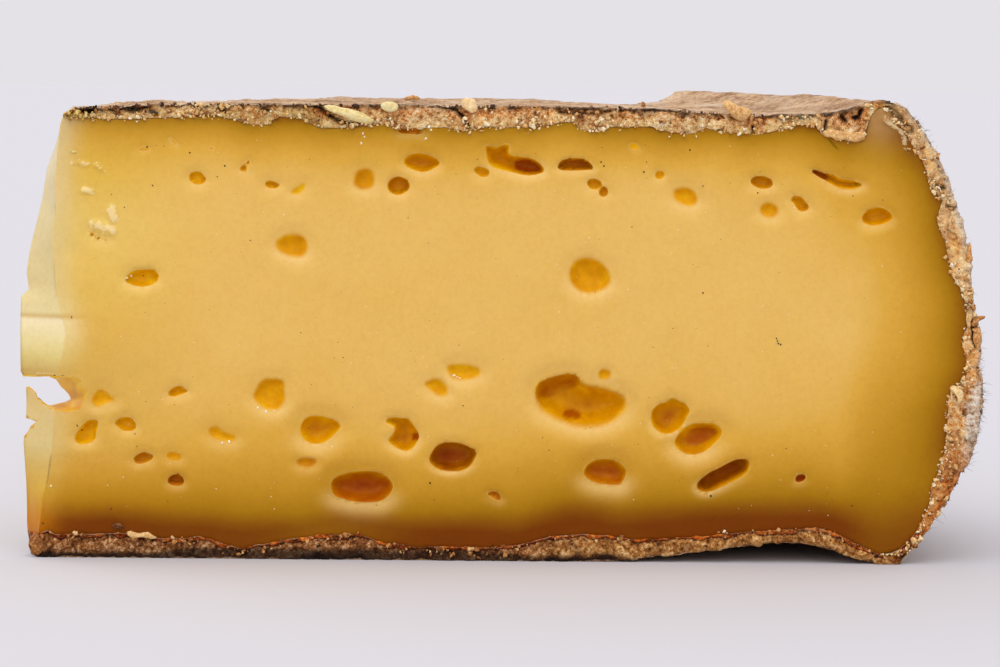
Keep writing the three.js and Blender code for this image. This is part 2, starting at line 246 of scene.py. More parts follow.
# Returns how near the closest crumb's middle is, how wide the crack beside it is, and its tone
def crumbs(points, length, seed=0):
    scaled = np.asarray(points) / length
    cell = np.floor(scaled).astype(np.int64)
    near = np.full(scaled.shape[:-1], 9.0)
    second = near.copy()
    tone = np.zeros_like(near)
    for step in np.ndindex(3, 3, 3):
        spot = [cell[..., a] + step[a] - 1 for a in range(3)]
        away = [spot[a] + hashed(*spot, seed + 11 * a + 1) - scaled[..., a] for a in range(3)]
        reach = np.sqrt(sum(a * a for a in away))
        closer = reach < near
        second = np.where(closer, near, np.minimum(second, reach))
        tone = np.where(closer, hashed(*spot, seed + 5), tone)
        near = np.where(closer, reach, near)
    return near, second - near, tone


print("noise at one point:", round(float(noise(np.array([1.0, 2.0, 3.0]), 4.0)), 3))

# %% [markdown]
# ## One mesh from a grid
# Paste and rind are both a grid on the front cut, swept back round the wheel's axis to the same
# grid on the back cut, and closed all round. The front is fine, as it faces the eye, and behind
# it every second vertex is dropped to save triangles.

# %% Sweep a grid into a closed mesh
# The faces of a grid whose first vertex has the number start
def grid_faces(columns, rows, start, flip):
    i, j = np.meshgrid(np.arange(columns), np.arange(rows), indexing="ij")
    a = start + (i * (rows + 1) + j).ravel()
    b, c, d = a + rows + 1, a + rows + 2, a + 1
    return np.stack([a, d, c, b] if flip else [a, b, c, d], -1)


# The numbers of a grid's outer vertices, once round
def grid_loop(columns, rows, start):
    def at(i, j):
        return start + np.asarray(i) * (rows + 1) + np.asarray(j)
    parts = [at(np.arange(columns), 0), at(columns, np.arange(rows))]
    parts += [at(np.arange(columns, 0, -1), rows), at(0, np.arange(rows, 0, -1))]
    return np.concatenate(parts)


# Joins the front grid to the back one by rings, fine at first, then with every second vertex.
# It returns vertices, faces with four and with three corners, and how far back each vertex lies
def sweep_grid(x, z, fine_steps, coarse_steps):
    columns, rows = x.shape[0] - 1, x.shape[1] - 1
    verts = [swept(x, z, 0).reshape(-1, 3)]
    kinds = [np.zeros(len(verts[0]))]
    faces = [grid_faces(columns, rows, 0, False)]
    thirds = []
    loop = grid_loop(columns, rows, 0)
    edge_x, edge_z = x.ravel()[loop], z.ravel()[loop]
    count = len(verts[0])
    for k in list(fine_steps) + list(coarse_steps):
        if k == coarse_steps[0]:
            edge_x, edge_z = edge_x[::2], edge_z[::2]
        ring = count + np.arange(len(edge_x))
        verts.append(swept(edge_x, edge_z, k))
        kinds.append(np.full(len(ring), k))
        count += len(ring)
        if len(ring) == len(loop):
            faces.append(np.stack([loop, ring, np.roll(ring, -1), np.roll(loop, -1)], -1))
        else:
            first, middle, last = loop[::2], loop[1::2], np.roll(loop[::2], -1)
            after = np.roll(ring, -1)
            thirds += [np.stack(t, -1) for t in
                       ((first, ring, middle), (middle, ring, after), (middle, after, last))]
        loop = ring
    back_x, back_z = x[::2, ::2], z[::2, ::2]
    verts.append(swept(back_x, back_z, 1).reshape(-1, 3))
    kinds.append(np.ones(back_x.size))
    faces.append(grid_faces(columns // 2, rows // 2, count, True))
    ring = grid_loop(columns // 2, rows // 2, count)
    faces.append(np.stack([loop, ring, np.roll(ring, -1), np.roll(loop, -1)], -1))
    return np.concatenate(verts), np.concatenate(faces), np.concatenate(thirds), np.concatenate(kinds)


print("a grid of 2 by 2 has", len(grid_faces(2, 2, 0, False)), "faces")

# %% Mesh helpers
def place_object(name, data):
    thing = bpy.data.objects.new(name, data)
    bpy.context.scene.collection.objects.link(thing)
    return thing


# A mesh from arrays of vertices, of faces with one count of corners, and of others with another
def make_object(name, verts, faces, thirds=(), smooth=True):
    mesh = bpy.data.meshes.new(name)
    corners = [np.asarray(f, np.int32).ravel() for f in (faces, thirds) if len(f)]
    sizes = [np.full(len(f), np.shape(f)[1], np.int32) for f in (faces, thirds) if len(f)]
    corners, sizes = np.concatenate(corners), np.concatenate(sizes)
    mesh.vertices.add(len(verts))
    mesh.vertices.foreach_set("co", np.asarray(verts, np.float32).ravel())
    mesh.loops.add(len(corners))
    mesh.loops.foreach_set("vertex_index", corners)
    mesh.polygons.add(len(sizes))
    starts = np.concatenate([[0], np.cumsum(sizes)[:-1]]).astype(np.int32)
    mesh.polygons.foreach_set("loop_start", starts)
    mesh.polygons.foreach_set("loop_total", sizes)
    mesh.update(calc_edges=True)
    mesh.validate()
    if smooth:
        mesh.shade_smooth()
    return place_object(name, mesh)


def vertex_places(piece):
    places = np.zeros(len(piece.data.vertices) * 3, np.float32)
    piece.data.vertices.foreach_get("co", places)
    return places.reshape(-1, 3).astype(float)


def vertex_normals(piece):
    normals = np.zeros(len(piece.data.vertices) * 3, np.float32)
    piece.data.vertex_normals.foreach_get("vector", normals)
    return normals.reshape(-1, 3).astype(float)


def place_vertices(piece, places):
    piece.data.vertices.foreach_set("co", np.asarray(places, np.float32).ravel())
    piece.data.update()


def set_layer(piece, name, values):
    layer = piece.data.attributes.new(name, "FLOAT", "POINT")
    layer.data.foreach_set("value", np.asarray(values, np.float32).ravel())


def set_layers(piece, layers):
    for name, values in layers.items():
        set_layer(piece, name, values)


def to_frame(piece, body="root"):
    place_vertices(piece, (vertex_places(piece) + SHIFT) / 1000)
    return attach(piece, body)


print("mesh helpers are ready")

# %% [markdown]
# ## Where the rind meets the paste
# The rind is 1 to 3.5 mm thick, and its inner side wanders. These are measured places of
# that side on the front cut: along the base and the top as (distance from the axis, height),
# and up the heel as (height, thickness). A little noise frays the line between them.

# %% The rind's inner side
BASE_SIDE = [(0.5, 2.4), (1.7, 3.0), (3.1, 2.5), (11.6, 2.8), (15.2, 2.1), (19.5, 2.4), (24.1, 1.1),
             (27.7, 1.9), (30.2, 2.3), (33.6, 2.8), (37.1, 2.9), (39.6, 1.9), (44.1, 1.5),
             (52.5, 1.6), (56.0, 2.1), (57.8, 2.8), (61.3, 3.1), (67.6, 2.5), (72.2, 2.8),
             (77.0, 3.2), (81.6, 3.6), (84.0, 3.9), (87.5, 4.0), (89.6, 3.3), (91.7, 2.3), (94.3, 1.1)]
HEEL_SIDE = [(1.1, 1.6), (2.6, 1.0), (4.2, 1.1), (7.1, 1.8), (8.6, 2.5), (10.2, 2.5), (13.3, 2.9),
             (17.8, 3.4), (19.3, 3.1), (21.0, 1.4), (24.5, 2.0), (27.5, 1.3), (30.4, 1.5),
             (31.4, 2.2), (35.0, 2.6), (38.0, 2.7), (40.0, 1.4), (42.1, 1.9), (43.2, 1.7), (43.9, 1.5),
             (45.6, 1.6), (46.4, 1.6), (47.3, 1.6), (48.2, 1.7), (48.7, 2.2), (49.3, 2.2), (50.0, 1.9)]
TOP_SIDE = [(5.0, 48.5), (9.6, 48.2), (17.2, 48.5), (20.4, 48.8), (22.1, 48.5), (24.9, 47.7),
            (26.9, 47.7), (27.8, 48.5), (29.7, 48.6), (31.2, 48.1), (32.3, 47.4), (33.9, 47.4),
            (37.8, 47.8), (39.6, 48.0), (40.5, 47.5), (45.8, 47.5), (48.8, 47.3), (50.8, 47.7),
            (55.7, 47.6), (58.6, 48.3), (60.0, 48.3), (61.1, 47.3), (64.1, 47.8), (68.7, 47.9),
            (69.7, 47.4), (72.7, 47.0), (74.4, 47.6), (78.5, 47.2), (79.8, 47.1), (83.1, 47.6),
            (84.5, 48.2), (86.6, 48.2), (87.2, 47.1), (90.3, 46.4), (91.6, 46.5), (91.95, 47.0),
            (92.1, 48.6), (92.2, 49.5), (92.6, 49.95), (93.4, 50.1)]


print("measured places:", len(BASE_SIDE), len(HEEL_SIDE), len(TOP_SIDE))

# %% Fine lines through the measured places
# How far along a path each of its places lies
def path_lengths(path):
    return np.concatenate([[0], np.cumsum(np.hypot(*np.diff(path, axis=0).T))])


# The places at some shares of a path's whole length
def walk(path, shares):
    path = np.asarray(path, float)
    lengths = path_lengths(path) / path_lengths(path)[-1]
    return np.stack([np.interp(shares, lengths, path[:, a]) for a in (0, 1)], -1)


# The base's, the heel's and the top's inner side as fine lines that meet in the corners
def inner_sides():
    low, high = np.array(BASE_SIDE), np.array(TOP_SIDE)
    heights, thickness = np.array(HEEL_SIDE).T
    fine = np.linspace(heights[0], heights[-1], 240)
    heel = np.stack([side_curve(fine) - np.interp(fine, heights, thickness), fine], -1)
    low[0] = (ridge_at(2.6), 2.6)
    low[1:3, 0] = (2.9, 3.6)
    high[0] = (ridge_at(48.5), 48.5)
    sides = []
    for number, side in enumerate((low, heel, high)):
        side = walk(side, np.linspace(0, 1, 900 if number != 1 else 450))
        spots = np.stack([side[:, 0], 0 * side[:, 0] + 7 * number, side[:, 1]], -1)
        away_from_ends = np.sin(np.linspace(0, np.pi, len(side))) ** 0.3
        fray = 0.22 * rough_noise(spots, 1.6, 40 + number) * away_from_ends
        side[:, 0 if number == 1 else 1] += fray
        sides.append(side)
    sides[1][0], sides[1][-1] = sides[0][-1], sides[2][-1]
    return sides


BASE_INNER, HEEL_INNER, TOP_INNER = inner_sides()
print("the rind's inner side is", round(sum(path_lengths(s)[-1] for s in inner_sides())), "mm long")

# %% [markdown]
# ## The eyes
# Gas made the eyes while the cheese was young, and pressing and ageing squashed them. The knife
# opened them, and left each with a soft lip. Each is traced in photo pixels with its kind: a
# soft dish, an open pit with a crisp wall, a wide one with a soft lip, or a deep hole that light
# hardly enters. How deep it goes for its size, how steep its wall is, its lip and how soft its
# edge looks come from the kind. Its darkness is traced and painted in, and in the deep eyes it is
# partly painted shade. Painted light, as if it came through the paste, brightens its walls, most at
# the top, and a painted highlight lies on the low lip of the larger eyes.

# %% Traced eyes
DISH = {"depth": 0.24, "wall": 0.42, "lip": 0.22, "lip_width": 0.9, "soft": 0.5}
OPEN = {"depth": 0.42, "wall": 0.24, "lip": 0.2, "lip_width": 0.6, "soft": 0.09}
DEEP = {"depth": 0.75, "wall": 0.16, "lip": 0.16, "lip_width": 0.5, "soft": 0.07}
WIDE = {"depth": 0.32, "wall": 0.28, "lip": 0.45, "lip_width": 1.2, "soft": 0.14}
BROAD = {**WIDE, "soft": 0.75}

TRACED_EYES = [
    (OPEN, 0.32, [(188, 179), (190, 172), (200, 171), (204, 176), (207, 180), (203, 184),
        (196, 185), (191, 182)]),
    (OPEN, 0.35, [(239, 169), (241, 166), (246, 164), (247, 160), (250, 161), (249, 164),
        (246, 167), (248, 173), (244, 172), (240, 171)]),
    (OPEN, 0.36, [(264, 185), (266, 181), (270, 180), (277, 183), (282, 185), (279, 187),
        (274, 189), (268, 188)]),
    (DISH, 0.25, [(290, 192), (294, 188), (300, 185), (305, 182), (306, 186), (303, 191),
        (298, 195), (292, 194)]),
    (DISH, 0.42, [(353, 179), (357, 169), (372, 168), (375, 179), (373, 188), (363, 190),
        (354, 187)]),
    (DEEP, 0.38, [(386.5, 186), (389, 180), (397, 176), (406, 178), (411, 186), (407, 192),
        (398, 196), (390, 193)]),
    (OPEN, 0.57, [(403, 161), (407, 156), (416, 152.5), (426, 154), (437, 159), (441, 164),
        (435, 168), (424, 173), (413, 170), (405, 166)]),
    (OPEN, 0.4, [(473, 170), (476, 166), (486, 168), (490, 171), (489, 176), (483, 178),
        (476, 174)]),
    (OPEN, 0.55, [(485, 144), (496, 148.5), (502, 145), (510, 144), (509, 150), (508.6, 155),
        (522, 157), (531, 158), (539, 162), (546.5, 171.5), (536.5, 175), (526, 176), (509, 171.5),
        (493, 168), (487, 161), (486, 152.5)]),
    (DEEP, 0.87, [(514, 160), (524, 158.5), (531, 159.5), (538, 163), (544, 171), (536, 174),
        (526, 174), (514, 170)]),
    (DEEP, 0.62, [(557, 171), (558, 164), (563, 159), (580, 157.6), (589, 161), (595, 169),
        (587, 170.4)]),
    (OPEN, 0.42, [(586, 183), (590, 178), (600, 180), (603, 185), (597, 190), (590, 189)]),
    (OPEN, 0.5, [(598, 194), (601, 186), (607, 187), (609, 194), (603, 198)]),
    (DISH, 0.3, [(628, 144), (636, 143), (641, 149), (632.5, 150)]),
    (OPEN, 0.42, [(790, 200), (793, 196), (801, 196), (806, 202), (810, 207), (807, 211),
        (801, 212), (797, 209), (794, 203)]),
    (OPEN, 0.5, [(811, 171), (814, 169), (823.5, 173), (836, 175), (840, 179), (853, 180.5),
        (864, 184), (860, 187.5), (849, 190), (839, 188), (829, 183), (816.5, 176)]),
    (DEEP, 0.8, [(811, 171), (814, 169), (823.5, 173), (831, 176), (829, 182), (816.5, 176)]),
    (OPEN, 0.47, [(861, 218), (866, 211), (875, 207), (885, 208), (894, 216), (891, 221),
        (881, 225), (871, 226), (864, 223)]),
    (DISH, 0.4, [(274, 244), (278, 238), (287, 234), (298, 234), (306, 238), (308, 246),
        (306, 254), (300, 258), (289, 256), (279, 252)]),
    (OPEN, 0.27, [(123.4, 281), (128, 273.5), (136, 270), (144, 270), (151, 269), (156.5, 271),
        (160, 277.5), (156.5, 282), (150, 286), (139, 287.5), (129, 284)]),
    (OPEN, 0.31, [(166, 394), (171, 389), (178, 385.6), (182, 387), (189.5, 391.7), (184, 393.6),
        (172, 398)]),
    (DISH, 0.3, [(255, 390), (260, 381), (267, 378), (285, 379), (284, 392), (286, 399),
        (280, 409), (274, 410.5), (265, 409.6), (256, 402.5), (252, 397)]),
    (DISH, 0.28, [(423, 384), (429, 380), (438, 378), (444, 382), (448, 388), (448, 395),
        (442, 397), (436, 395), (427, 388)]),
    (DISH, 0.28, [(444.5, 367), (452.5, 364), (463, 364), (476, 366), (481, 371), (480, 376),
        (470, 380), (456, 380), (450, 376)]),
    (DISH, 0.3, [(98, 389), (104, 390), (111, 396), (116, 400.6), (107, 403), (97, 408),
        (92.5, 405), (91, 400), (93, 395)]),
    (OPEN, 0.24, [(86, 421), (91, 420), (98, 420), (98, 424), (98, 428), (95.5, 432.5), (96, 438),
        (92.5, 442), (87, 444), (80, 444.6), (76, 443), (74, 439), (75, 435), (80, 428)]),
    (OPEN, 0.33, [(114, 422), (119, 418.5), (124, 417), (129.5, 417), (133, 420), (136.5, 425),
        (136, 429), (133, 431), (128, 431.5), (122, 431), (119, 428), (115.5, 426)]),
    (OPEN, 0.5, [(132, 459), (136.5, 455), (143, 452), (148, 453), (155, 457), (148, 462.5),
        (136.5, 465)]),
    (DISH, 0.35, [(166, 453.5), (171, 451.6), (179, 453), (182, 457), (180, 460.6), (172, 460.6),
        (166.5, 458)]),
    (DEEP, 0.62, [(166.5, 480), (170, 476), (175, 474), (180.5, 475), (184, 480), (184, 484),
        (180, 486.5), (173.5, 486), (168, 484)]),
    (DISH, 0.3, [(207, 431), (210, 427), (217, 426), (222, 431), (227, 433), (235, 435),
        (236, 439), (231, 443), (222, 441), (218, 440), (211, 437)]),
    (WIDE, 0.57, [(300, 426), (304, 419), (311, 416), (320, 416), (335, 420), (342, 427),
        (336, 433), (329, 440), (320, 444.5), (310, 444), (302.5, 439), (300, 433)]),
    (DISH, 0.45, [(295, 462), (299, 458), (308, 457.5), (318, 460), (315, 465), (309, 468),
        (299, 466)]),
    (WIDE, 0.94, [(330, 483), (335, 477), (347, 473), (361, 471), (377.5, 472), (388, 477.5),
        (394, 486), (390, 495), (381, 502), (367, 503), (351, 502), (342, 499), (335.5, 497),
        (331, 492)]),
    (OPEN, 0.57, [(384, 422), (386, 419), (394, 417), (402, 418.6), (408, 418), (414, 426),
        (419.5, 435), (418.6, 440), (414, 447), (408, 451.6), (399, 450), (386, 441), (392, 436),
        (396, 428), (390, 425)]),
    (DEEP, 0.85, [(410, 436), (416, 432.5), (419.5, 434.6), (418.6, 440), (412, 443.6)]),
    (DEEP, 0.83, [(428, 461), (431, 453), (437, 444.5), (449, 442), (460, 443), (470, 447),
        (478, 453), (474, 461), (469, 468), (458, 472), (447, 472), (436, 469)]),
    (OPEN, 0.6, [(485, 493), (494, 491), (500.5, 494.5), (501, 502), (494, 499)]),
    (BROAD, 0.5, [(534.5, 392), (537, 383), (549, 377.5), (566, 373), (577, 374), (582, 383),
        (587, 385), (605, 388), (623, 395), (627, 402.5), (625.5, 411), (612, 423), (594, 427.5),
        (576, 427), (557, 420), (541, 411), (535, 401)]),
    (OPEN, 0.62, [(537, 385), (549, 378), (566, 374), (577, 375), (581, 383), (578, 389),
        (564, 394), (551, 401), (541, 401), (536, 396)]),
    (DEEP, 0.78, [(561, 416), (565, 411.5), (573, 410.5), (582, 414), (583, 419), (576, 421.5),
        (567, 421)]),
    (DISH, 0.35, [(597, 374), (601, 369), (608, 369), (612, 374), (608, 380), (600, 380)]),
    (OPEN, 0.62, [(650.5, 417), (652, 410), (659, 404), (667.5, 402), (672, 397), (678, 401),
        (685, 403), (691, 411), (687, 417), (684, 424), (679, 430), (669, 435), (660, 433),
        (652, 426)]),
    (WIDE, 0.68, [(673, 444), (678, 435), (685, 427.5), (692.5, 424), (707, 423), (717.5, 425),
        (723, 431), (721, 438), (714, 445), (705, 452.5), (692.5, 456), (682, 453)]),
    (OPEN, 0.75, [(684, 442), (691, 429), (709, 426), (717.5, 429), (719, 436), (705, 445),
        (692.5, 449)]),
    (DEEP, 0.72, [(696, 486), (699, 481), (710, 472), (717.5, 469.5), (730, 462), (739, 459),
        (747, 459), (750.5, 462), (749, 471), (742.5, 477), (730, 483), (717.5, 489), (707, 493),
        (699, 491)]),
    (WIDE, 0.88, [(583, 472), (587, 465), (596, 460), (605, 459), (616, 460.5), (625.5, 468),
        (627, 474), (621, 485), (617.5, 485.5), (605, 485), (594, 483), (585, 477.5)]),
    (OPEN, 0.35, [(137.4, 150), (142, 146.7), (149.4, 147.5), (150, 150.7), (139, 150.7)]),
    (OPEN, 0.35, [(168, 139), (170, 138), (177.5, 144.5), (176, 146)]),
    (OPEN, 0.45, [(208, 147.5), (214, 147), (212, 151)]),
    (OPEN, 0.62, [(397, 129), (400, 127), (412, 128.5), (424, 130), (423, 134.5), (411, 134),
        (399, 133.5)]),
    (OPEN, 0.3, [(86.4, 228), (92, 233.6), (100.7, 238.4), (112.7, 240.3), (103.9, 241.5),
        (92.8, 238), (87, 232.5)]),
]

# Plain round eyes: distance from the axis, height, width, height across, turn in degrees, kind, tone
ROUND_EYES = [
    (69.6, 42.6, 1.1, 0.9, 0, OPEN, 0.35), (72.5, 40.2, 2.8, 1.9, -20, DISH, 0.28),
    (80.8, 41.9, 2.6, 1.4, -4, OPEN, 0.52), (81.6, 38.9, 2.1, 1.8, -30, DISH, 0.32),
    (61.9, 31.6, 4.7, 3.9, -15, DISH, 0.38), (85.4, 9.4, 1.3, 0.9, 15, DEEP, 0.85),
]


print("traced eyes:", len(TRACED_EYES), "and round ones:", len(ROUND_EYES))

# %% Outlines of the eyes
# An oval with a slight ripple, so that no two eyes are alike
def round_outline(x, z, width, height, turn, seed):
    angle = np.linspace(0, 2 * np.pi, 14, endpoint=False)
    ripple = 1 + 0.16 * noise(np.stack([np.cos(angle), np.sin(angle), 0 * angle + seed], -1), 0.9, seed)
    across, up = width / 2 * np.cos(angle) * ripple, height / 2 * np.sin(angle) * ripple
    lean = math.radians(turn)
    return np.stack([x + across * math.cos(lean) - up * math.sin(lean),
                     z + across * math.sin(lean) + up * math.cos(lean)], -1)


# Cuts the corners off a traced outline, each round finer
def rounded(outline, rounds=2):
    for _ in range(rounds):
        after = np.roll(outline, -1, axis=0)
        pairs = np.stack([0.75 * outline + 0.25 * after, 0.25 * outline + 0.75 * after], 1)
        outline = pairs.reshape(-1, 2)
    return outline


front_eyes = [(kind, tone, rounded(on_cut(pixels))) for kind, tone, pixels in TRACED_EYES]
for number, (*row, kind, tone) in enumerate(ROUND_EYES):
    front_eyes.append((kind, tone, rounded(round_outline(*row, 7 * number + 1))))
print("eyes in the front cut:", len(front_eyes))

# %% [markdown]
# The back cut isn't seen in the photograph, so a seeded rule scatters eyes of the same kinds and
# sizes over it, each clear of the last ones.

# %% Scattered eyes for the back cut
def scattered_eyes(count, seed):
    chance = np.random.default_rng(seed)
    found = []
    while len(found) < count:
        x, z = chance.uniform(10, 92), chance.uniform(7, 44)
        width = 1.4 + 5 * chance.random() ** 2.2
        if all(math.hypot(x - e[0], z - e[1]) > 0.7 * (width + e[2]) + 1 for e in found):
            kind, tone = ((DISH, 0.3), (OPEN, 0.5), (DEEP, 0.85))[int(chance.integers(3))]
            height = width * chance.uniform(0.5, 0.85)
            found.append((x, z, width, height, chance.uniform(-35, 35), kind, tone))
    return [(kind, tone, rounded(round_outline(*row, 3 * n + 2)))
            for n, (*row, kind, tone) in enumerate(found)]


back_eyes = scattered_eyes(36, 41)
print("eyes in the back cut:", len(back_eyes))

# %% [markdown]
# ## Pressing the eyes in
# An eye could be cut out with a Boolean, but then its soft lip would need a bevel of its own. Here
# the vertices of the cut move instead: the nearest ones onto the outline, so that the edge stays
# crisp, and those inside it back into the paste.

# %% Press eyes into a grid
# Signed distance from points to a closed outline, less than 0 inside, and the nearest place on it
def outline_distance(points, outline):
    ends = np.roll(outline, -1, axis=0)
    sides = ends - outline
    away = points[:, None] - outline[None]
    share = np.clip((away * sides).sum(-1) / (sides * sides).sum(-1), 0, 1)
    nearest = outline + sides * share[..., None]
    reach = np.hypot(*(points[:, None] - nearest).transpose(2, 0, 1))
    best = reach.argmin(1)
    rows = np.arange(len(points))
    crosses = (outline[:, 1] > points[:, None, 1]) != (ends[:, 1] > points[:, None, 1])
    rise = np.where(np.abs(sides[:, 1]) < 1e-9, 1e-9, sides[:, 1])
    cut = outline[:, 0] + (points[:, None, 1] - outline[:, 1]) * sides[:, 0] / rise
    inside = (crosses & (points[:, None, 0] < cut)).sum(1) % 2 == 1
    return np.where(inside, -1, 1) * reach[rows, best], nearest[rows, best]


# How deep the cut goes at each distance from an outline: a soft lip first, and then the wall
def eye_depth(kind, size, distance, around):
    inward = np.clip(-distance / (kind["wall"] * size), 0, 1)
    lip_size = min(kind["lip"], 0.12 * size)
    return lip_size * around + kind["depth"] * size * (1 - (1 - inward) ** 2.2)


# How dark an eye is painted at each place inside it, once painted light, as if it came through the
# paste, is taken off near its walls, most at the top
def eye_tone(tone, size, core, high, in_other):
    light = (0.42 + 0.18 * high) * (1 - core) * smoothstep(tone, 0.3, 0.6) * smoothstep(size, 1.5, 3.5)
    light = light * (1 - 0.75 * np.mean(in_other))
    return np.maximum(tone - light, min(tone, 0.28))


# Presses the eyes into a grid: near vertices move onto each outline. For every vertex it returns
# how deep it goes, its distance to the nearest eye, how soft and how dark that eye is, and a
# painted highlight on its low lip
def press_eyes(x, z, eyes, spacing):
    spots = np.stack([x.ravel(), z.ravel()], -1)
    found = {"depth": np.zeros(x.size), "pit": np.full(x.size, 1.5), "soft": np.full(x.size, 0.1),
             "tone": np.full(x.size, 0.5), "lip": np.zeros(x.size)}
    for kind, tone, outline in eyes:
        size = math.sqrt(np.prod(np.ptp(outline, axis=0)))
        reach = 2.2 * kind["lip_width"]
        near = np.all((spots > outline.min(0) - reach) & (spots < outline.max(0) + reach), axis=1)
        pick = np.flatnonzero(near)
        if not len(pick):
            continue
        distance, nearest = outline_distance(spots[pick], outline)
        close = np.abs(distance) < 0.48 * spacing
        spots[pick[close]] = nearest[close]
        distance[close] = 0
        lip_width = min(kind["lip_width"], 0.45 * size)
        around = np.where(distance > 0, bump(distance, 0, lip_width), 1)
        pit = eye_depth(kind, size, distance, around)
        found["depth"][pick] = np.maximum(found["depth"][pick], pit)
        nearer = (distance < found["pit"][pick]) | (distance < 0.1)
        in_other = (found["pit"][pick] < -0.1)[nearer]
        mine = pick[nearer]
        found["pit"][mine] = np.minimum(found["pit"][mine], distance[nearer])
        found["soft"][mine] = min(kind["soft"], 0.3 * size)
        middle, half = outline.mean(0)[1], 0.5 * np.ptp(outline[:, 1])
        core = np.clip(-distance[nearer] / max(-distance.min(), 0.1), 0, 1)
        high = np.clip((spots[mine, 1] - middle) / half, -1, 1)
        share = np.where(in_other, smoothstep(-distance[nearer], -0.1, 0.25), 1)
        # The eye's tone with painted light on its walls
        tone_with_painted_light = eye_tone(tone, size, core, high, in_other)
        found["tone"][mine] += share * (tone_with_painted_light - found["tone"][mine])
        # A painted highlight on the low lip of the larger eyes, as if it faced the light from above
        low_side = smoothstep((middle - spots[pick, 1]) / (half + 0.2), -0.2, 1.2)
        painted_lip_highlight = np.where(distance > 0, bump(distance, 0, lip_width), 0) * low_side * min(1, size / 3.5)
        found["lip"][pick] = np.maximum(found["lip"][pick], painted_lip_highlight)
    return spots[:, 0].reshape(x.shape), spots[:, 1].reshape(x.shape), found


print("a deep eye goes in by", DEEP["depth"], "of its size, and a dish by", DISH["depth"])
# %% [markdown]
# ## The paste
# The paste fills the wedge inside the rind, and its front cut is one fine grid. Its edge dips
# under the rind by a third of a millimetre, so that a fine dark crack shows between them. Each
# vertex also stores how ripe the cheese is there: paste ripens and darkens from the rind inwards,
# and over the base the darkening reaches further, partly as painted shade.

# %% The paste's grid
PASTE_COLUMNS, PASTE_ROWS = ((430, 160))
CRACK = 0.35


# A grid stretched between the ridge at the point and the rind's inner sides, closer in the
# height of the hole, where the detail is fine
def paste_grid():
    inner = [BASE_INNER.copy(), HEEL_INNER.copy(), TOP_INNER.copy()]
    inner[0][:, 1] -= CRACK
    inner[2][:, 1] += CRACK
    inner[1][:, 0] += CRACK
    corner_low = (inner[1][0, 0], inner[0][-1, 1])
    corner_high = (inner[1][-1, 0], inner[2][-1, 1])
    inner[0][-1], inner[1][0] = corner_low, corner_low
    inner[2][-1], inner[1][-1] = corner_high, corner_high
    across = np.linspace(0, 1, PASTE_COLUMNS + 1)
    heights = np.linspace(0, 1, 400)
    weight = 1 - 0.38 * smoothstep(heights, 0.46, 0.52) * (1 - smoothstep(heights, 0.68, 0.76))
    share = np.concatenate([[0], np.cumsum(weight)[:-1]])
    up = np.interp(np.linspace(0, 1, PASTE_ROWS + 1), share / share[-1], heights)
    up[0], up[-1] = 0, 1
    bottom, top, right = walk(inner[0], across), walk(inner[2], across), walk(inner[1], up)
    left_z = bottom[0, 1] + (top[0, 1] - bottom[0, 1]) * up
    left = np.stack([ridge_at(left_z), left_z], -1)
    bottom[0], top[0] = left[0], left[-1]
    s, t = across[:, None, None], up[None, :, None]
    patch = (1 - t) * bottom[:, None] + t * top[:, None] + (1 - s) * left[None] + s * right[None]
    corners = (1 - s) * ((1 - t) * left[0] + t * left[-1]) + s * ((1 - t) * right[0] + t * right[-1])
    patch = patch - corners
    return patch[..., 0], patch[..., 1]


print("the paste's grid has", PASTE_COLUMNS, "columns and", PASTE_ROWS, "rows")

# %% Relief of the cut
# A side as a height for each x, evened out over some millimetres
def evened(places, values, width):
    fine = np.arange(places.min(), places.max(), 0.5)
    even = np.interp(fine, places, values)
    if width:
        count = int(width / 0.5)
        padded = np.pad(even, count, mode="edge")
        even = np.convolve(padded, np.ones(count) / count, "same")[count:-count]
    return fine, even


# Distances in mm from a point of the section to the rind's inner side above, below and at the heel
def depths_under_rind(x, z, width=0):
    order = np.argsort(TOP_INNER[:, 0], kind="stable")
    top = TOP_INNER[order]
    above = np.interp(x, *evened(top[:, 0], top[:, 1], width)) - z
    below = z - np.interp(x, *evened(BASE_INNER[:, 0], BASE_INNER[:, 1], width))
    heel = np.interp(z, *evened(HEEL_INNER[:, 1], HEEL_INNER[:, 0], width)) - x
    return above, below, heel


# How far each place of a cut lies in: its eyes, the dip at the rind, knife waves and torn curd
def paste_relief(x, z, depth_in_eyes, seed):
    spots = np.stack([x.ravel(), 0 * x.ravel() + seed, z.ravel()], -1)
    nearest = np.min(depths_under_rind(x.ravel(), z.ravel()), axis=0)
    edge = np.clip(1 - (nearest + CRACK) / 0.6, 0, 1) ** 2
    waves = 0.07 * noise(spots, 7, seed) + 0.03 * noise(spots, 2.2, seed + 1)
    torn = 0.16 * np.clip(rough_noise(spots, 2.6, seed + 3), 0, 1) * (1 - smoothstep(x.ravel(), 5, 12))
    return depth_in_eyes + 0.4 * edge + waves + torn + 0.07


# Torn flakes that stand up a little from the cut near the point, traced in photo pixels
RAISED_FLAKES = [
    [(88, 224), (93, 219), (103, 221), (112, 226), (118, 231), (116, 236), (104, 233), (95, 230)],
    [(107, 205), (112, 202), (116, 209), (119, 220), (112, 224), (107, 216)],
    [(79, 189), (86, 186), (92, 189), (95, 193), (88, 194), (80, 193)],
    [(92, 164), (98, 163), (104, 170), (103, 173), (97, 168)],
    [(70, 163), (80, 161), (92, 163), (90, 166), (78, 165)],
    [(883, 116), (888, 119), (896, 124), (903, 129), (906, 138), (909, 150), (905, 149), (901, 139),
     (896, 131), (888, 126), (883, 121)],
]


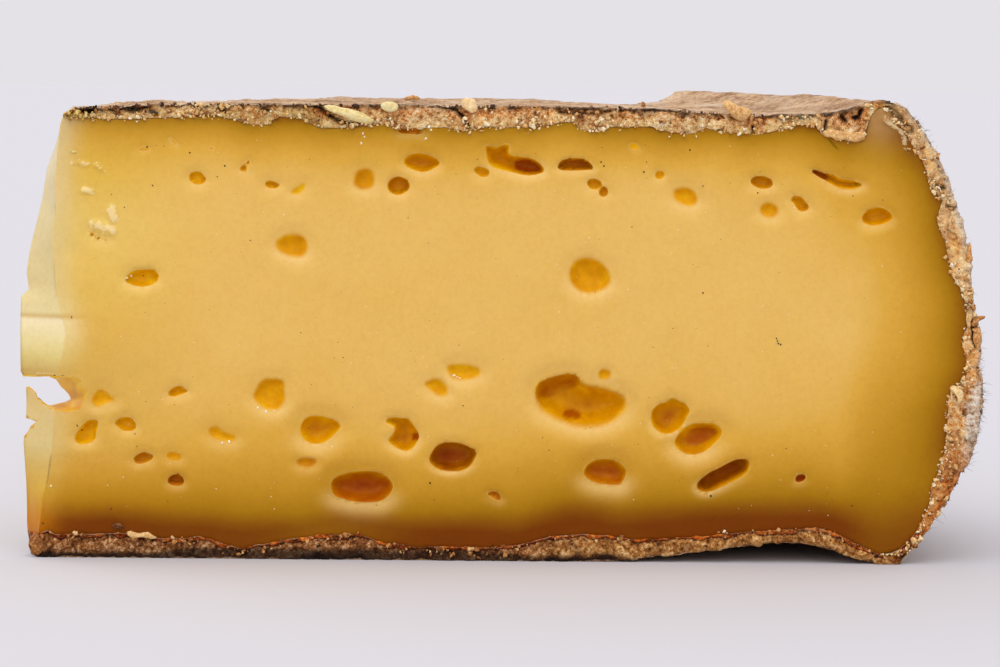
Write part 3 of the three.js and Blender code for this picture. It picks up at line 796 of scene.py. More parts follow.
# How far inside a flake each vertex is, in mm, and less than 0 outside
def flake_depth(x, z):
    inside = np.full(x.size, -0.6)
    spots = np.stack([x.ravel(), z.ravel()], -1)
    for pixels in RAISED_FLAKES:
        outline = rounded(on_cut(pixels))
        near = np.all((spots > outline.min(0) - 0.6) & (spots < outline.max(0) + 0.6), axis=1)
        distance, _ = outline_distance(spots[near], outline)
        inside[near] = np.maximum(inside[near], np.clip(-distance, -0.6, 0.6))
    return inside


print("raised flakes:", len(RAISED_FLAKES))

# %% Build the paste
# Ripe paste lies under the top, over the base and in the heel, and each fades inwards. Over the base
# it reaches further up, partly as painted shade
def ripeness(points):
    radius = np.hypot(points[:, 0], points[:, 1])
    above, below, heel = depths_under_rind(radius, points[:, 2], 5)
    warp = 0.5 * noise(points, 14, 5) + 0.25 * noise(points, 5, 6)
    at_end = smoothstep(radius, 80, 93)
    at_foot = smoothstep(radius, 89, 95)
    under_top = 0.88 * np.exp(-(np.clip(above + 0.4 + warp, 0, None) / (2.8 + 2.4 * at_end)) ** 1.2)
    # Darker over the base, partly ripeness and partly painted shade from below
    ripe_over_base_and_painted_shade = np.exp(-(np.clip(below - 1.0 + 1.5 * warp, 0, None) / (6.2 + 6.8 * at_foot)) ** 1.3)
    ripe_over_base_and_painted_shade *= 1 - 0.12 * at_foot - 0.14 * bump(radius, 33, 7)
    from_heel = np.exp(-(np.clip(heel + 0.6 + warp, 0, None) / 5.0) ** 1.4)
    in_heel = (0.45 + 0.4 * smoothstep(points[:, 2], 8, 14)) * from_heel
    return 1 - (1 - under_top) * (1 - ripe_over_base_and_painted_shade) * (1 - in_heel)


def build_paste():
    x, z = paste_grid()
    spacing = (x.max() - x.min()) / PASTE_COLUMNS
    x, z, in_front = press_eyes(x, z, front_eyes, spacing)
    flakes = flake_depth(x, z)
    back_x, back_z = x[::2, ::2], z[::2, ::2]
    _, _, in_back = press_eyes(back_x, back_z, back_eyes, 2 * spacing)
    steps = [0.12, 0.22, 0.34, 0.46, 0.58, 0.7, 0.82, 0.92]
    verts, faces, thirds, kinds = sweep_grid(x, z, [0.05], steps)
    front, back = slice(0, x.size), slice(len(verts) - back_x.size, len(verts))
    side = slice(x.size, len(verts) - back_x.size)
    verts[front, 1] += paste_relief(x, z, in_front["depth"], 0) - 0.25 * smoothstep(flakes, -0.1, 0.2)
    inward = np.array([math.sin(WEDGE_ANGLE), -math.cos(WEDGE_ANGLE), 0])
    verts[back] += paste_relief(back_x, back_z, in_back["depth"], 19)[:, None] * inward
    facet = 1 - smoothstep(verts[side, 0], 4, 6)
    verts[side, 0] += facet * 0.4 * rough_noise(verts[side], 3.2, 77, 4)
    piece = make_object("cheese_paste", verts, faces, thirds)
    for name, plain_value in (("pit", 1.5), ("soft", 0.1), ("tone", 0.5), ("lip", 0.0)):
        values = np.full(len(verts), plain_value)
        values[front], values[back] = in_front[name], in_back[name]
        set_layer(piece, name, values)
    pale = np.full(len(verts), -0.6)
    pale[front] = flakes
    radius = np.hypot(verts[:, 0], verts[:, 1])
    past_ridge = verts[:, 0] - ridge_at(verts[:, 2])
    set_layers(piece, {
        "pale": pale,
        "ripe": ripeness(verts),
        "height": verts[:, 2] / 50,
        "cloud": bump(radius, 93.6, 2.2) * bump(verts[:, 2], 49.2, 2.8),
        "point": 1 - smoothstep(verts[:, 0], 6, 24),
        # How close to the thin point, for its painted glow of light through the paste
        "thin": bump(np.clip(past_ridge, 0, None), 0, 1.9),
        "torn": np.where(kinds == 0, 0.0, 1.0) * (1 - smoothstep(past_ridge, 0.2, 0.6)),
    })
    return piece


paste = build_paste()
print("paste triangles:", sum(len(p.vertices) - 2 for p in paste.data.polygons))

# %% [markdown]
# ## The hole at the point
# Both cuts opened one gas hole at the thin point, so light shows through it, and a small nick is
# torn below it. The hole is wider on the front cut than behind, so its wall shows. A cutter
# follows the traced outlines from front to back, and a Boolean takes it out of the paste.

# %% Outlines of the hole and the nick
HOLE_FRONT = [(5, 376), (22, 376), (36, 376.5), (50, 376), (66, 376.4), (73.8, 377.6), (80.8, 380.2),
              (80.8, 385), (84.5, 390), (87.2, 393.9), (84, 398.4), (82, 406), (79.5, 409.2),
              (65.5, 411.4), (55, 409), (38, 399), (36.5, 393), (32.3, 388.8), (28.5, 386.3),
              (25, 387.5), (5, 388)]
HOLE_BEHIND = [(5, 376), (22, 376.4), (35.5, 377), (48, 376.4), (55.9, 379.6), (57.2, 381),
               (61, 386.9), (65.5, 390.7), (69.3, 395.2), (70.6, 399), (65.5, 401.6), (54.6, 404.4),
               (48.9, 405.4), (46, 404.5), (43.2, 402.5), (35.5, 395.2), (36.1, 392.6),
               (32.3, 388.8), (28.5, 386.3), (25.6, 387.5), (5, 388)]
NICK = [(5, 418), (26, 418.1), (31, 419.4), (36, 421.6), (30.4, 426.4), (28.5, 430.9), (24, 436), (5, 436)]


print("traced places of the hole:", len(HOLE_FRONT), "in front and", len(HOLE_BEHIND), "behind")

# %% Cut the hole and the nick
# Where the rays through traced pixels meet a plane some millimetres behind the cut
def behind_cut(pixels, depth):
    places = on_cut(pixels)
    away = np.array([CAMERA_ASIDE, CAMERA_HEIGHT])
    places = away + (places - away) * (1 + depth / CAMERA_DISTANCE)
    return np.stack([places[:, 0], np.full(len(places), depth), places[:, 1]], -1)


# A closed solid through rings with the same number of places
def make_cutter(name, rings):
    count = len(rings[0])
    around = np.arange(count)
    last = (len(rings) - 1) * count
    faces = [tuple(range(count - 1, -1, -1)), tuple(range(last, last + count))]
    for n in range(len(rings) - 1):
        start = n * count
        after = (around + 1) % count
        for a, b in zip(around, after):
            faces.append((start + a, start + b, start + count + b, start + count + a))
    mesh = bpy.data.meshes.new(name)
    mesh.from_pydata([tuple(v) for v in np.concatenate(rings)], [], faces)
    return place_object(name, mesh)


def cut_away(piece, cutter):
    step = piece.modifiers.new("cut", "BOOLEAN")
    step.operation = "DIFFERENCE"
    step.solver = "MANIFOLD"
    step.object = cutter
    bpy.context.view_layer.objects.active = piece
    bpy.ops.object.modifier_apply(modifier=step.name)
    piece.data.materials.clear()
    bpy.data.objects.remove(cutter)


hole = [behind_cut(HOLE_FRONT, -1.5), behind_cut(HOLE_FRONT, 0.3), behind_cut(HOLE_BEHIND, 4.5),
        behind_cut(HOLE_BEHIND, 12)]
cut_away(paste, make_cutter("hole", hole))
cut_away(paste, make_cutter("nick", [behind_cut(NICK, -1.5), behind_cut(NICK, 12)]))

places = vertex_places(paste)
print("paste vertices after the cuts:", len(places))

# %% The wall of the hole
# It is amber like the eyes, and lies between both outlines as the camera sees them
near = np.flatnonzero((places[:, 0] < 9) & (np.abs(places[:, 2] - 18.5) < 3.6))
eye_spot = np.array([CAMERA_ASIDE, CAMERA_HEIGHT])
seen = eye_spot + (places[near][:, ::2] - eye_spot) / (1 + places[near, 1:2] / CAMERA_DISTANCE)
in_front, _ = outline_distance(seen, on_cut(HOLE_FRONT))
past_back, _ = outline_distance(seen, on_cut(HOLE_BEHIND))
wall = near[(in_front < 0.03) & (past_back > -0.05)]
amber_tone = np.interp(places[wall, 2], (17.2, 17.9, 19.4), (0.24, 0.14, 0.02))
for name, value in (("pit", -0.3), ("soft", 0.1), ("torn", 0.0), ("thin", 0.0), ("tone", amber_tone)):
    values = np.zeros(len(places), np.float32)
    paste.data.attributes[name].data.foreach_get("value", values)
    values[wall] = value
    paste.data.attributes[name].data.foreach_set("value", values)
paste.data.shade_smooth()
print("vertices in the wall of the hole:", len(wall))

# %% [markdown]
# ## The rind
# The rind is a bent bar round the paste: its grid runs along the base, up the heel and back over
# the top, and across from the outer skin to the paste. The knife crumbled its cut face into
# fragments, and its skin is swollen, craggy and scabbed. A cellular noise gives each fragment a
# height and a tone of its own, with a crack at its edge.

# %% The rind's grid
RIND_COLUMNS, RIND_ROWS = ((1120, 12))


# From the outer skin to the inner side, along the base, up the heel and back over the top
def rind_grid():
    bottom_r = np.linspace(ridge_at(0), 96.2, 500)
    heel_z = np.linspace(0.1, 50.2, 300)
    top_r = np.linspace(95.8, ridge_at(50), 500)
    outer = [
        np.stack([bottom_r, base_height(bottom_r)], -1),
        np.stack([side_radius(heel_z), heel_z], -1),
        np.stack([top_r, top_height(top_r)], -1),
    ]
    inner = [BASE_INNER, HEEL_INNER, TOP_INNER[::-1]]
    lengths = [path_lengths(side)[-1] for side in outer]
    counts = [round(RIND_COLUMNS * length / sum(lengths) / 2) * 2 for length in lengths]
    counts[2] = RIND_COLUMNS - counts[0] - counts[1]
    rows = np.linspace(0, 1, RIND_ROWS + 1)[None, :, None]
    parts = []
    for number, (far, near, count) in enumerate(zip(outer, inner, counts)):
        shares = np.linspace(0, 1, count + 1)[: count + (number == 2)]
        parts.append((1 - rows) * walk(far, shares)[:, None] + rows * walk(near, shares)[:, None])
    grid = np.concatenate(parts)
    return grid[..., 0], grid[..., 1]


print("the rind's grid has", RIND_COLUMNS, "columns and", RIND_ROWS, "rows")

# %% Hollows and mould
# Hollows and cracks in the cut rind, darkened with painted shade: half their width in pixels, how
# dark the painted shade is, and the traced line
RIND_HOLLOWS_WITH_PAINTED_SHADE = [
    (6, 0.6, [(888, 111), (893, 114), (899, 121)]), (4.5, 0.55, [(904, 125), (909, 130)]),
    (2.5, 1.0, [(842, 117), (846, 121)]), (3, 1.0, [(855, 118), (859, 116), (861, 110)]),
    (1.2, 1.0, [(753, 127), (752.6, 136)]), (1.4, 1.0, [(826, 121), (824, 131)]),
    (1.3, 1.0, [(445, 107), (456, 110), (464, 118), (469, 127)]), (2, 0.9, [(936, 186), (944, 188)]),
    (1.5, 0.8, [(947, 206), (953, 209)]), (2.5, 0.9, [(974, 322), (975.5, 345)]),
    (2.5, 0.8, [(963, 322), (965, 327)]), (2, 0.9, [(222, 109), (224, 111)]),
    (3, 0.8, [(150, 111), (156, 114)]), (2, 0.8, [(262, 109), (270, 111)]),
    (1.2, 0.8, [(885, 108), (876, 118), (874, 128)]),
    (1.2, 0.9, [(645, 108), (672, 110), (700, 110), (722, 112)]),
    (1.2, 0.8, [(560, 112), (590, 114), (612, 111)]),
    (1.8, 0.9, [(316, 106), (322, 109), (327, 113), (334, 118.5), (347, 123.5), (362, 126.5)]),
    (2.2, 0.9, [(76, 113), (84, 110.5), (94, 110.5)]),
    (1.6, 0.8, [(110, 109), (122, 108), (138, 107), (150, 108)]),
]


# How deep each place lies in a hollow, from 0 to 1 times the darkness of its painted shade
def hollow_depth_and_painted_shade(x, z):
    spots = np.stack([x.ravel(), z.ravel()], -1)
    found = np.zeros(len(spots))
    wander = 0.14 * rough_noise(np.stack([x.ravel(), 0 * x.ravel(), z.ravel()], -1), 0.8, 71)
    for half, dark, pixels in RIND_HOLLOWS_WITH_PAINTED_SHADE:
        line = on_cut(pixels)
        sides = np.diff(line, axis=0)
        away = spots[:, None] - line[None, :-1]
        share = np.clip((away * sides).sum(-1) / (sides * sides).sum(-1), 0, 1)[..., None]
        reach = np.linalg.norm(away - share * sides, axis=-1).min(1)
        inside = half * MM_PER_PIXEL - reach + wander
        found = np.maximum(found, dark * smoothstep(inside, -0.08, 0.12))
    return found


# Green mould grows near the point
def moss_at(x):
    return np.clip(bump(x, 5.5, 3.2) + 0.7 * bump(x, 32, 3.5) + 0.4 * bump(x, 24, 5), 0, 1)


# Black mould sits in dark spots under the skin of the top
def mould_at(x):
    spots = bump(x, 7.2, 2.0) + 0.9 * bump(x, 12, 2.4) + 0.6 * bump(x, 32.4, 1.6) + 0.4 * bump(x, 66, 6)
    return np.clip(spots, 0, 1)


print("hollows in the rind:", len(RIND_HOLLOWS_WITH_PAINTED_SHADE))

# %% Build the rind
# Fragments and skin: how far each place stands out, how rough its grain is and how dark it looks
def rind_relief(verts, radius, height, outward, cap):
    warped = verts + 0.4 * np.stack([noise(verts, 0.9, 50 + a) for a in range(3)], -1)
    near, _, tone = crumbs(warped, 1.3, 3)
    small, _, small_tone = crumbs(warped, 0.6, 8)
    swell = 0.35 * noise(verts, 11, 31) + 0.5 * rough_noise(verts, 4.6, 32)
    scab = 0.5 * (smoothstep(noise(verts, 7, 33), 0.1, 0.35) - 0.4)
    grain = 0.45 * (0.5 - near) + 0.3 * (tone - 0.5) + 0.28 * (0.5 - small) + 0.12 * (small_tone - 0.5)
    worn = np.where((height < 3) & (radius < 95), smoothstep(radius, 62, 70), 1)
    calm = 0.35 + 0.35 * smoothstep(radius, 94, 99)
    skin = outward * worn * calm * (swell + scab + grain)
    relief = np.where(cap, 1.0 * grain - 0.1 + 0.3 * outward * swell, skin)
    return relief, grain, 0.5 * tone + 0.5 * small_tone


# Where each colour of the rind lies, from 0 to 1
def rind_layers(verts, radius, height, skin_gap, cap):
    rim = (1 - smoothstep(skin_gap, 0.15, 0.6)) * (1 - smoothstep(verts[:, 1], 0.4, 1.1))
    on_heel = smoothstep(radius, 94.5, 97)
    pale_cork = smoothstep(radius, 54, 63)
    # Painted shadow on the underside of the base rind, near the floor
    sole = np.interp(radius, (14, 18, 50, 58), (0.6, 1.25, 1.2, 0.4)) - (height - base_height(radius))
    mould = mould_at(verts[:, 0]) * smoothstep(height, 47.9, 49.2)
    moss = moss_at(verts[:, 0]) * smoothstep(verts[:, 2], 45, 47)
    return {
        "pale_cork": pale_cork,
        "sole": smoothstep(sole, -0.4, 0.4) * (1 - 0.6 * pale_cork),
        "rim": rim * (1 - on_heel),
        "frost": rim * on_heel * smoothstep(height, 10, 22),
        "heel": on_heel * smoothstep(height, 6, 14),
        "bright": on_heel * smoothstep(height, 20, 40),
        "foot": on_heel * (1 - smoothstep(height, 9, 15)),
        "skin": np.where(cap, 0.0, 1.0) * smoothstep(verts[:, 0] - ridge_at(height), 0, 0.6),
        "mould": mould * (1 - smoothstep(verts[:, 1], 1, 5)),
        "low": 1 - smoothstep(verts[:, 2], 3, 6),
        "moss": moss * (1 - smoothstep(verts[:, 1], 1, 4)),
    }


def build_rind():
    x, z = rind_grid()
    fine = [0.004, 0.010, 0.018, 0.028]
    coarse = [0.04, 0.055] + list(np.linspace(0.075, 0.985, 42))
    smooth, faces, thirds, kinds = sweep_grid(x, z, fine, coarse)
    piece = make_object("natural_rind", smooth, faces, thirds)
    radius, height = np.hypot(smooth[:, 0], smooth[:, 1]), smooth[:, 2].copy()
    inside = np.min(depths_under_rind(radius, height), axis=0)
    cap = (kinds == 0) | (kinds == 1)
    relief, grain, tone = rind_relief(smooth, radius, height, smoothstep(-inside, 0.0, 0.9), cap)
    # How deep each place lies in a hollow, which presses it in and paints its shade
    hollow = np.where(smooth[:, 1] < 1.5, hollow_depth_and_painted_shade(smooth[:, 0], height), 0)
    verts = smooth + vertex_normals(piece) * relief[:, None]
    verts[:, 1] += 0.8 * hollow * (kinds == 0)
    verts[:, 2] += 0.35 * bump(radius, 42, 10) * smoothstep(verts[:, 1], 8, 18) * (height > 45)
    verts[:, 2] = np.maximum(verts[:, 2], 0)
    place_vertices(piece, verts)
    skin_gap = np.min([top_height(radius) - height, side_radius(height) - radius], axis=0)
    skin_gap = skin_gap + 0.35 * rough_noise(smooth, 2.4, 61)
    set_layers(piece, {
        "hollow": hollow,
        "depth": np.clip(-inside / 3, 0, 1),
        "tone": tone,
        # Painted shade in the low cracks between fragments
        "crack": 1 - smoothstep(grain, -0.34, 0.08),
        **rind_layers(verts, radius, height, skin_gap, cap),
    })
    return piece


rind = build_rind()
print("rind triangles:", sum(len(p.vertices) - 2 for p in rind.data.polygons))

# %% [markdown]
# ## Node helper and colours
# Each material is a small tree of nodes. One helper adds a node with its settings, its stops if
# it is a ramp, and its links, and hands back the socket that comes out, so nodes nest like sums.
# Another turns a familiar sRGB colour code to the linear values that light is computed with.

# %% Material helpers
def linear(code):
    parts = [int(code[start:start + 2], 16) / 255 for start in (1, 3, 5)]
    light = [p / 12.92 if p <= 0.04045 else ((p + 0.055) / 1.055) ** 2.4 for p in parts]
    return (*light, 1.0)


# Inputs go by name, or in a list in the order of the sockets that the node shows
def add(tree, kind, inputs=(), out=None, stops=(), **settings):
    node = tree.nodes.new("ShaderNode" + kind)
    for name, value in settings.items():
        setattr(node, name, value)
    while stops and len(node.color_ramp.elements) < len(stops):
        node.color_ramp.elements.new(0.5)
    for element, (place, code) in zip(node.color_ramp.elements if stops else (), stops):
        element.position = place
        element.color = linear(code)
    shown = [socket for socket in node.inputs if socket.enabled]
    for place, value in inputs.items() if isinstance(inputs, dict) else enumerate(inputs):
        socket = node.inputs[place] if isinstance(place, str) else shown[place]
        if isinstance(value, bpy.types.NodeSocket):
            tree.links.new(value, socket)
        else:
            socket.default_value = value
    given = {socket.name: socket for socket in node.outputs if socket.enabled}
    return given[out] if out else next(iter(given.values()))


# Sets what is the same all over a surface on the shader's own sockets
def set_sockets(shader, values):
    for name, value in values.items():
        shader.inputs[name].default_value = value


# Gives back a material, its shader, and the helper above ready for its tree
def start_material(name, finish):
    material = bpy.data.materials.new(name)
    material.use_nodes = True
    shader = material.node_tree.nodes["Principled BSDF"]
    set_sockets(shader, finish)
    return material, shader, partial(add, material.node_tree)


# The mesh's stored layers by name, as sockets
def stored_layers(node, names):
    return {name: node("Attribute", out="Fac", attribute_name=name) for name in names.split()}


# Patterns by name, each from its size in mm, how many finer ones it holds and how strong they are
def grains(node, patterns):
    spots = node("TexCoord", out="Object")
    made = {}
    for name, (millimetres, detail, roughness) in patterns.items():
        made[name] = node("TexNoise", {"Vector": spots, "Scale": 1000.0 / millimetres,
                                       "Detail": detail, "Roughness": roughness})
    return made


# How far a value is past a level, stretched by a gain
def past(node, value, level, gain, clamp=False):
    over = node("Math", [value, level], operation="SUBTRACT")
    return node("Math", [over, gain], operation="MULTIPLY", use_clamp=clamp)


print("cream in linear light:", [round(v, 3) for v in linear("#e3c08f")[:3]])

# %% [markdown]
# ## Paste material
# The stuff is pressed curd, cut with a knife. Fresh-cut cheese is waxy: light goes in a
# millimetre or two and comes out yellow, and the skin of the cut has a broad soft shine. The
# colour could be painted on, but then it wouldn't follow the form, so it is worked out from what
# each vertex stores: straw yellow in the heart, ochre under the rind, with painted shade towards
# the base, and pale on the torn point as painted light through the thin paste. The eyes are
# painted amber, partly their own colour and partly painted shade and bounced light, with painted
# highlights on their lips.

# %% Paste colours and finish
# A little light sinks in, red furthest, and a weak warm shine keeps the cut from looking like clay
PASTE_FINISH = {
    "Roughness": 0.4,
    "IOR": 1.45,
    "Specular IOR Level": 0.22,
    "Specular Tint": linear("#ffdc9a"),
    "Subsurface Weight": 0.25,
    "Subsurface Radius": (1.0, 0.5, 0.12),
    "Subsurface Scale": 0.0009,
}
PASTE_GRAINS = {
    "mottle": (9, 3, 0.5), "wisps": (1.2, 3, 0.5), "torn": (0.9, 4, 0.75), "patches": (1.7, 3, 0.6),
    "curd": (0.6, 4, 0.75), "fine": (0.35, 3, 0.5), "broad": (1.6, 2, 0.5),
}
PASTE_LAYERS = "ripe point height thin torn cloud lip pale tone pit soft"
HEART_TO_RIND = [
    (0.0, "#e2b863"), (0.15, "#d7a743"), (0.3, "#cb9831"), (0.5, "#ba8920"), (0.7, "#a6760c"),
    (0.87, "#895305"), (1.0, "#743500"),
]
# Straw yellow of the young point by height, darker towards the top rind and, as painted shade, towards the
# base
STRAW_WITH_PAINTED_SHADE_BY_HEIGHT = [
    (0.08, "#b27408"), (0.148, "#c48c22"), (0.25, "#d6aa4e"), (0.42, "#d4aa50"), (0.5, "#daaf50"),
    (0.62, "#e0bb5c"), (0.74, "#e2c066"), (0.84, "#dcb44c"), (0.93, "#d0a33c"), (1.0, "#c08c2a"),
]
# The torn point by height: pale as painted light through the thin paste, with a painted highlight band at mid
# height, and darker towards the base
POINT_PAINTED_GLOW_BY_HEIGHT = [
    (0.06, "#bc7000"), (0.08, "#c47c08"), (0.148, "#cfa440"), (0.2, "#d2b060"), (0.247, "#d6c082"),
    (0.312, "#d9bf82"), (0.38, "#d0b470"), (0.41, "#c8a860"), (0.44, "#d8c47c"), (0.476, "#e6d69a"),
    (0.522, "#f2e4b8"), (0.53, "#d2b474"), (0.54, "#e4d49c"), (0.6, "#deca92"), (0.74, "#d6c490"),
    (0.8, "#dcca9c"), (1.0, "#d6ca9c"),
]
# Amber in the eyes by their traced darkness: the dark end is painted shade in the deep eyes
AMBER_WITH_PAINTED_SHADE = [
    (0.0, "#f8d020"), (0.12, "#eec010"), (0.2, "#e4ae0c"), (0.3, "#dc9a00"), (0.5, "#c47e00"),
    (0.7, "#af5a00"), (0.85, "#a04600"), (1.0, "#8c3700"),
]
print("paste patterns in mm:", {name: size for name, (size, _, _) in PASTE_GRAINS.items()})

# %% Paste
# Straw yellow to ochre by how ripe the paste is, with painted shade low on the young point, and
# pale with painted light through the paste where the wedge is thin or torn
def cut_colour(node, stored, grain):
    mottle = node("Math", [grain["mottle"], 0.12], operation="MULTIPLY")
    mottle = node("Math", [mottle, 0.06], operation="SUBTRACT")
    shifted = node("Math", [stored["ripe"], mottle], operation="ADD", use_clamp=True)
    colour = node("ValToRGB", [shifted], stops=HEART_TO_RIND)
    unripe = node("Math", [1.0, stored["ripe"]], operation="SUBTRACT", use_clamp=True)
    young = node("Math", [stored["point"], unripe], operation="MULTIPLY")
    # Straw colour by height, with painted shade towards the base
    straw_with_painted_shade = node("ValToRGB", [stored["height"]], stops=STRAW_WITH_PAINTED_SHADE_BY_HEIGHT)
    colour = node("Mix", [young, colour, straw_with_painted_shade], data_type="RGBA")
    # Pale painted glow of light through the thin and torn point
    facet = node("ValToRGB", [stored["height"]], stops=POINT_PAINTED_GLOW_BY_HEIGHT)
    thin = node("Math", [stored["thin"], 0.6], operation="MULTIPLY")
    colour = node("Mix", [thin, colour, facet], data_type="RGBA")
    return node("Mix", [stored["torn"], colour, facet], data_type="RGBA")


# A greyish cloud in the heel's corner, a painted highlight on the low lips of the eyes, and pale torn flakes
def marks_on_cut(node, stored, grain, colour):
    wisps = node("Math", [grain["wisps"], 0.35], operation="ADD", use_clamp=True)
    cloudy = node("Math", [stored["cloud"], wisps], operation="MULTIPLY")
    cloudy = node("Math", [cloudy, 0.85], operation="MULTIPLY")
    colour = node("Mix", [cloudy, colour, linear("#c0975e")], data_type="RGBA")
    # Painted highlight where the low lips of the eyes would catch the light
    painted_lip_highlight = node("Math", [stored["lip"], 0.55], operation="MULTIPLY")
    colour = node("Mix", [painted_lip_highlight, colour, linear("#f0cf8c")], data_type="RGBA")
    ragged = node("Math", [stored["pale"], past(node, grain["torn"], 0.52, 2.6)], operation="ADD")
    flake = node("Math", [ragged, 7.0], operation="MULTIPLY", use_clamp=True)
    flake = node("Math", [flake, 0.5], operation="MULTIPLY")
    return node("Mix", [flake, colour, linear("#f3e2b4")], data_type="RGBA")


# Amber inside an eye by the signed distance to its outline, darker by its traced darkness, partly as
# painted shade, with a fine painted highlight line round it
def eyes_on_cut(node, stored, grain, colour):
    patchy = past(node, grain["patches"], 0.5, 0.5)
    darkness = node("Math", [stored["tone"], patchy], operation="ADD")
    amber = node("ValToRGB", [darkness], stops=AMBER_WITH_PAINTED_SHADE)
    softened = node("Math", [stored["pit"], stored["soft"]], operation="DIVIDE")
    inside = node("Math", [0.5, softened], operation="SUBTRACT", use_clamp=True)
    # A fine painted highlight just outside the outline
    from_line = node("Math", [stored["pit"], 0.07], operation="SUBTRACT")
    from_line = node("Math", [from_line], operation="ABSOLUTE")
    from_line = node("Math", [from_line, 11.0], operation="MULTIPLY")
    painted_rim_highlight = node("Math", [1.0, from_line], operation="SUBTRACT", use_clamp=True)
    painted_rim_highlight = node("Math", [painted_rim_highlight, 0.2], operation="MULTIPLY")
    colour = node("Mix", [painted_rim_highlight, colour, linear("#f6dca0")], data_type="RGBA")
    return node("Mix", [inside, colour, amber], data_type="RGBA")


def paste_material():
    material, shader, node = start_material("cheese paste", PASTE_FINISH)
    stored = stored_layers(node, PASTE_LAYERS)
    grain = grains(node, PASTE_GRAINS)
    colour = cut_colour(node, stored, grain)
    colour = marks_on_cut(node, stored, grain, colour)
    colour = eyes_on_cut(node, stored, grain, colour)
    curdy = past(node, grain["curd"], 0.42, 1.1, clamp=True)
    colour = node("Mix", [curdy, colour, linear("#ecdfc4")], data_type="RGBA", blend_type="MULTIPLY")
    waxy = node("Math", [grain["fine"], 0.35], operation="MULTIPLY")
    waxy = node("Math", [waxy, grain["broad"]], operation="ADD")
    bent = node("Bump", {"Height": waxy, "Strength": 0.35, "Distance": 0.00012})
    material.node_tree.links.new(colour, shader.inputs["Base Color"])
    material.node_tree.links.new(bent, shader.inputs["Normal"])
    return material


paste.data.materials.append(paste_material())
print("paste nodes:", len(paste.data.materials[0].node_tree.nodes))

# %% [markdown]
# ## Rind material
# The stuff is dried curd and mould, brushed and turned for months. The cut rind is a jumble of
# fragments, cream beside the paste, then tan, orange and brown, and a broken dark line where it
# meets the skin. Green and black mould grows at the point. The base rind is finer and darker,
# like cork. Shade in the cracks between fragments, in the hollows and under the base is painted in.
# The outer skin is a dry matt grey-tan dusted with mould. Each kind has a ramp of its own, and the
# stored layers say where it lies.

# %% Rind colours and finish
# Dry and crumbly, so almost no shine, and only a trace of light sinks in
RIND_FINISH = {
    "Roughness": 0.75,
    "IOR": 1.45,
    "Specular IOR Level": 0.2,
    "Subsurface Weight": 0.1,
    "Subsurface Radius": (1.0, 0.5, 0.2),
    "Subsurface Scale": 0.0004,
}
RIND_GRAINS = {
    "wander": (1.5, 3, 0.5), "orange": (6, 2, 0.5), "base": (1.8, 3, 0.5), "fragments": (0.45, 4, 0.75),
    "speckle": (0.7, 4, 0.8), "blotch": (8, 5, 0.6), "dust": (4, 5, 0.75), "broken": (2.5, 4, 0.7),
    "mould": (0.9, 5, 0.75), "rough": (0.5, 4, 0.65), "sandy": (0.18, 2, 0.5),
}
RIND_LAYERS = "heel bright moss pale_cork sole tone depth low foot skin crack hollow rim frost mould"
CREAM_FRAGMENTS = [(0.0, "#84501e"), (0.22, "#c48c48"), (0.5, "#e8c080"), (0.75, "#f4d8a0"), (1.0, "#fcecc8")]
TAN_FRAGMENTS = [(0.0, "#24140a"), (0.22, "#74441f"), (0.42, "#bf7e44"), (0.65, "#e8ae6c"), (1.0, "#f8dcb4")]
WARM_HEEL = [(0.0, "#8a4614"), (0.25, "#d48a3a"), (0.55, "#f4b86c"), (1.0, "#ffe8bc")]
FROSTED_HEEL = [(0.0, "#38261a"), (0.2, "#94704e"), (0.45, "#cfb292"), (0.75, "#e8dac6"), (1.0, "#f8f2e8")]
DARK_CORK = [(0.0, "#3a1c08"), (0.35, "#7c481c"), (0.65, "#ad7440"), (1.0, "#e4bf94")]
PALE_CORK = [(0.0, "#543010"), (0.35, "#9c6228"), (0.65, "#cc924e"), (1.0, "#f0cc94")]
# Bands across the base rind: orange and a dark line beside the paste, and painted shadow at its lower edge
BASE_BANDS_AND_PAINTED_SHADOW = [
    (0.0, "#ffb85c"), (0.07, "#f09a40"), (0.11, "#4a260e"), (0.17, "#fff4e6"), (0.62, "#ffffff"),
    (0.85, "#4a3424"), (1.0, "#2a1c14"),
]
DRY_SKIN = [(0.34, "#4a3220"), (0.42, "#9a724e"), (0.5, "#cba47c"), (0.57, "#dfc09c"), (0.7, "#f0e0cc")]
GREEN_BLACK_MOULD = [(0.4, "#1b1a14"), (0.55, "#34341f"), (0.68, "#77742e")]
print("rind patterns in mm:", {name: size for name, (size, _, _) in RIND_GRAINS.items()})

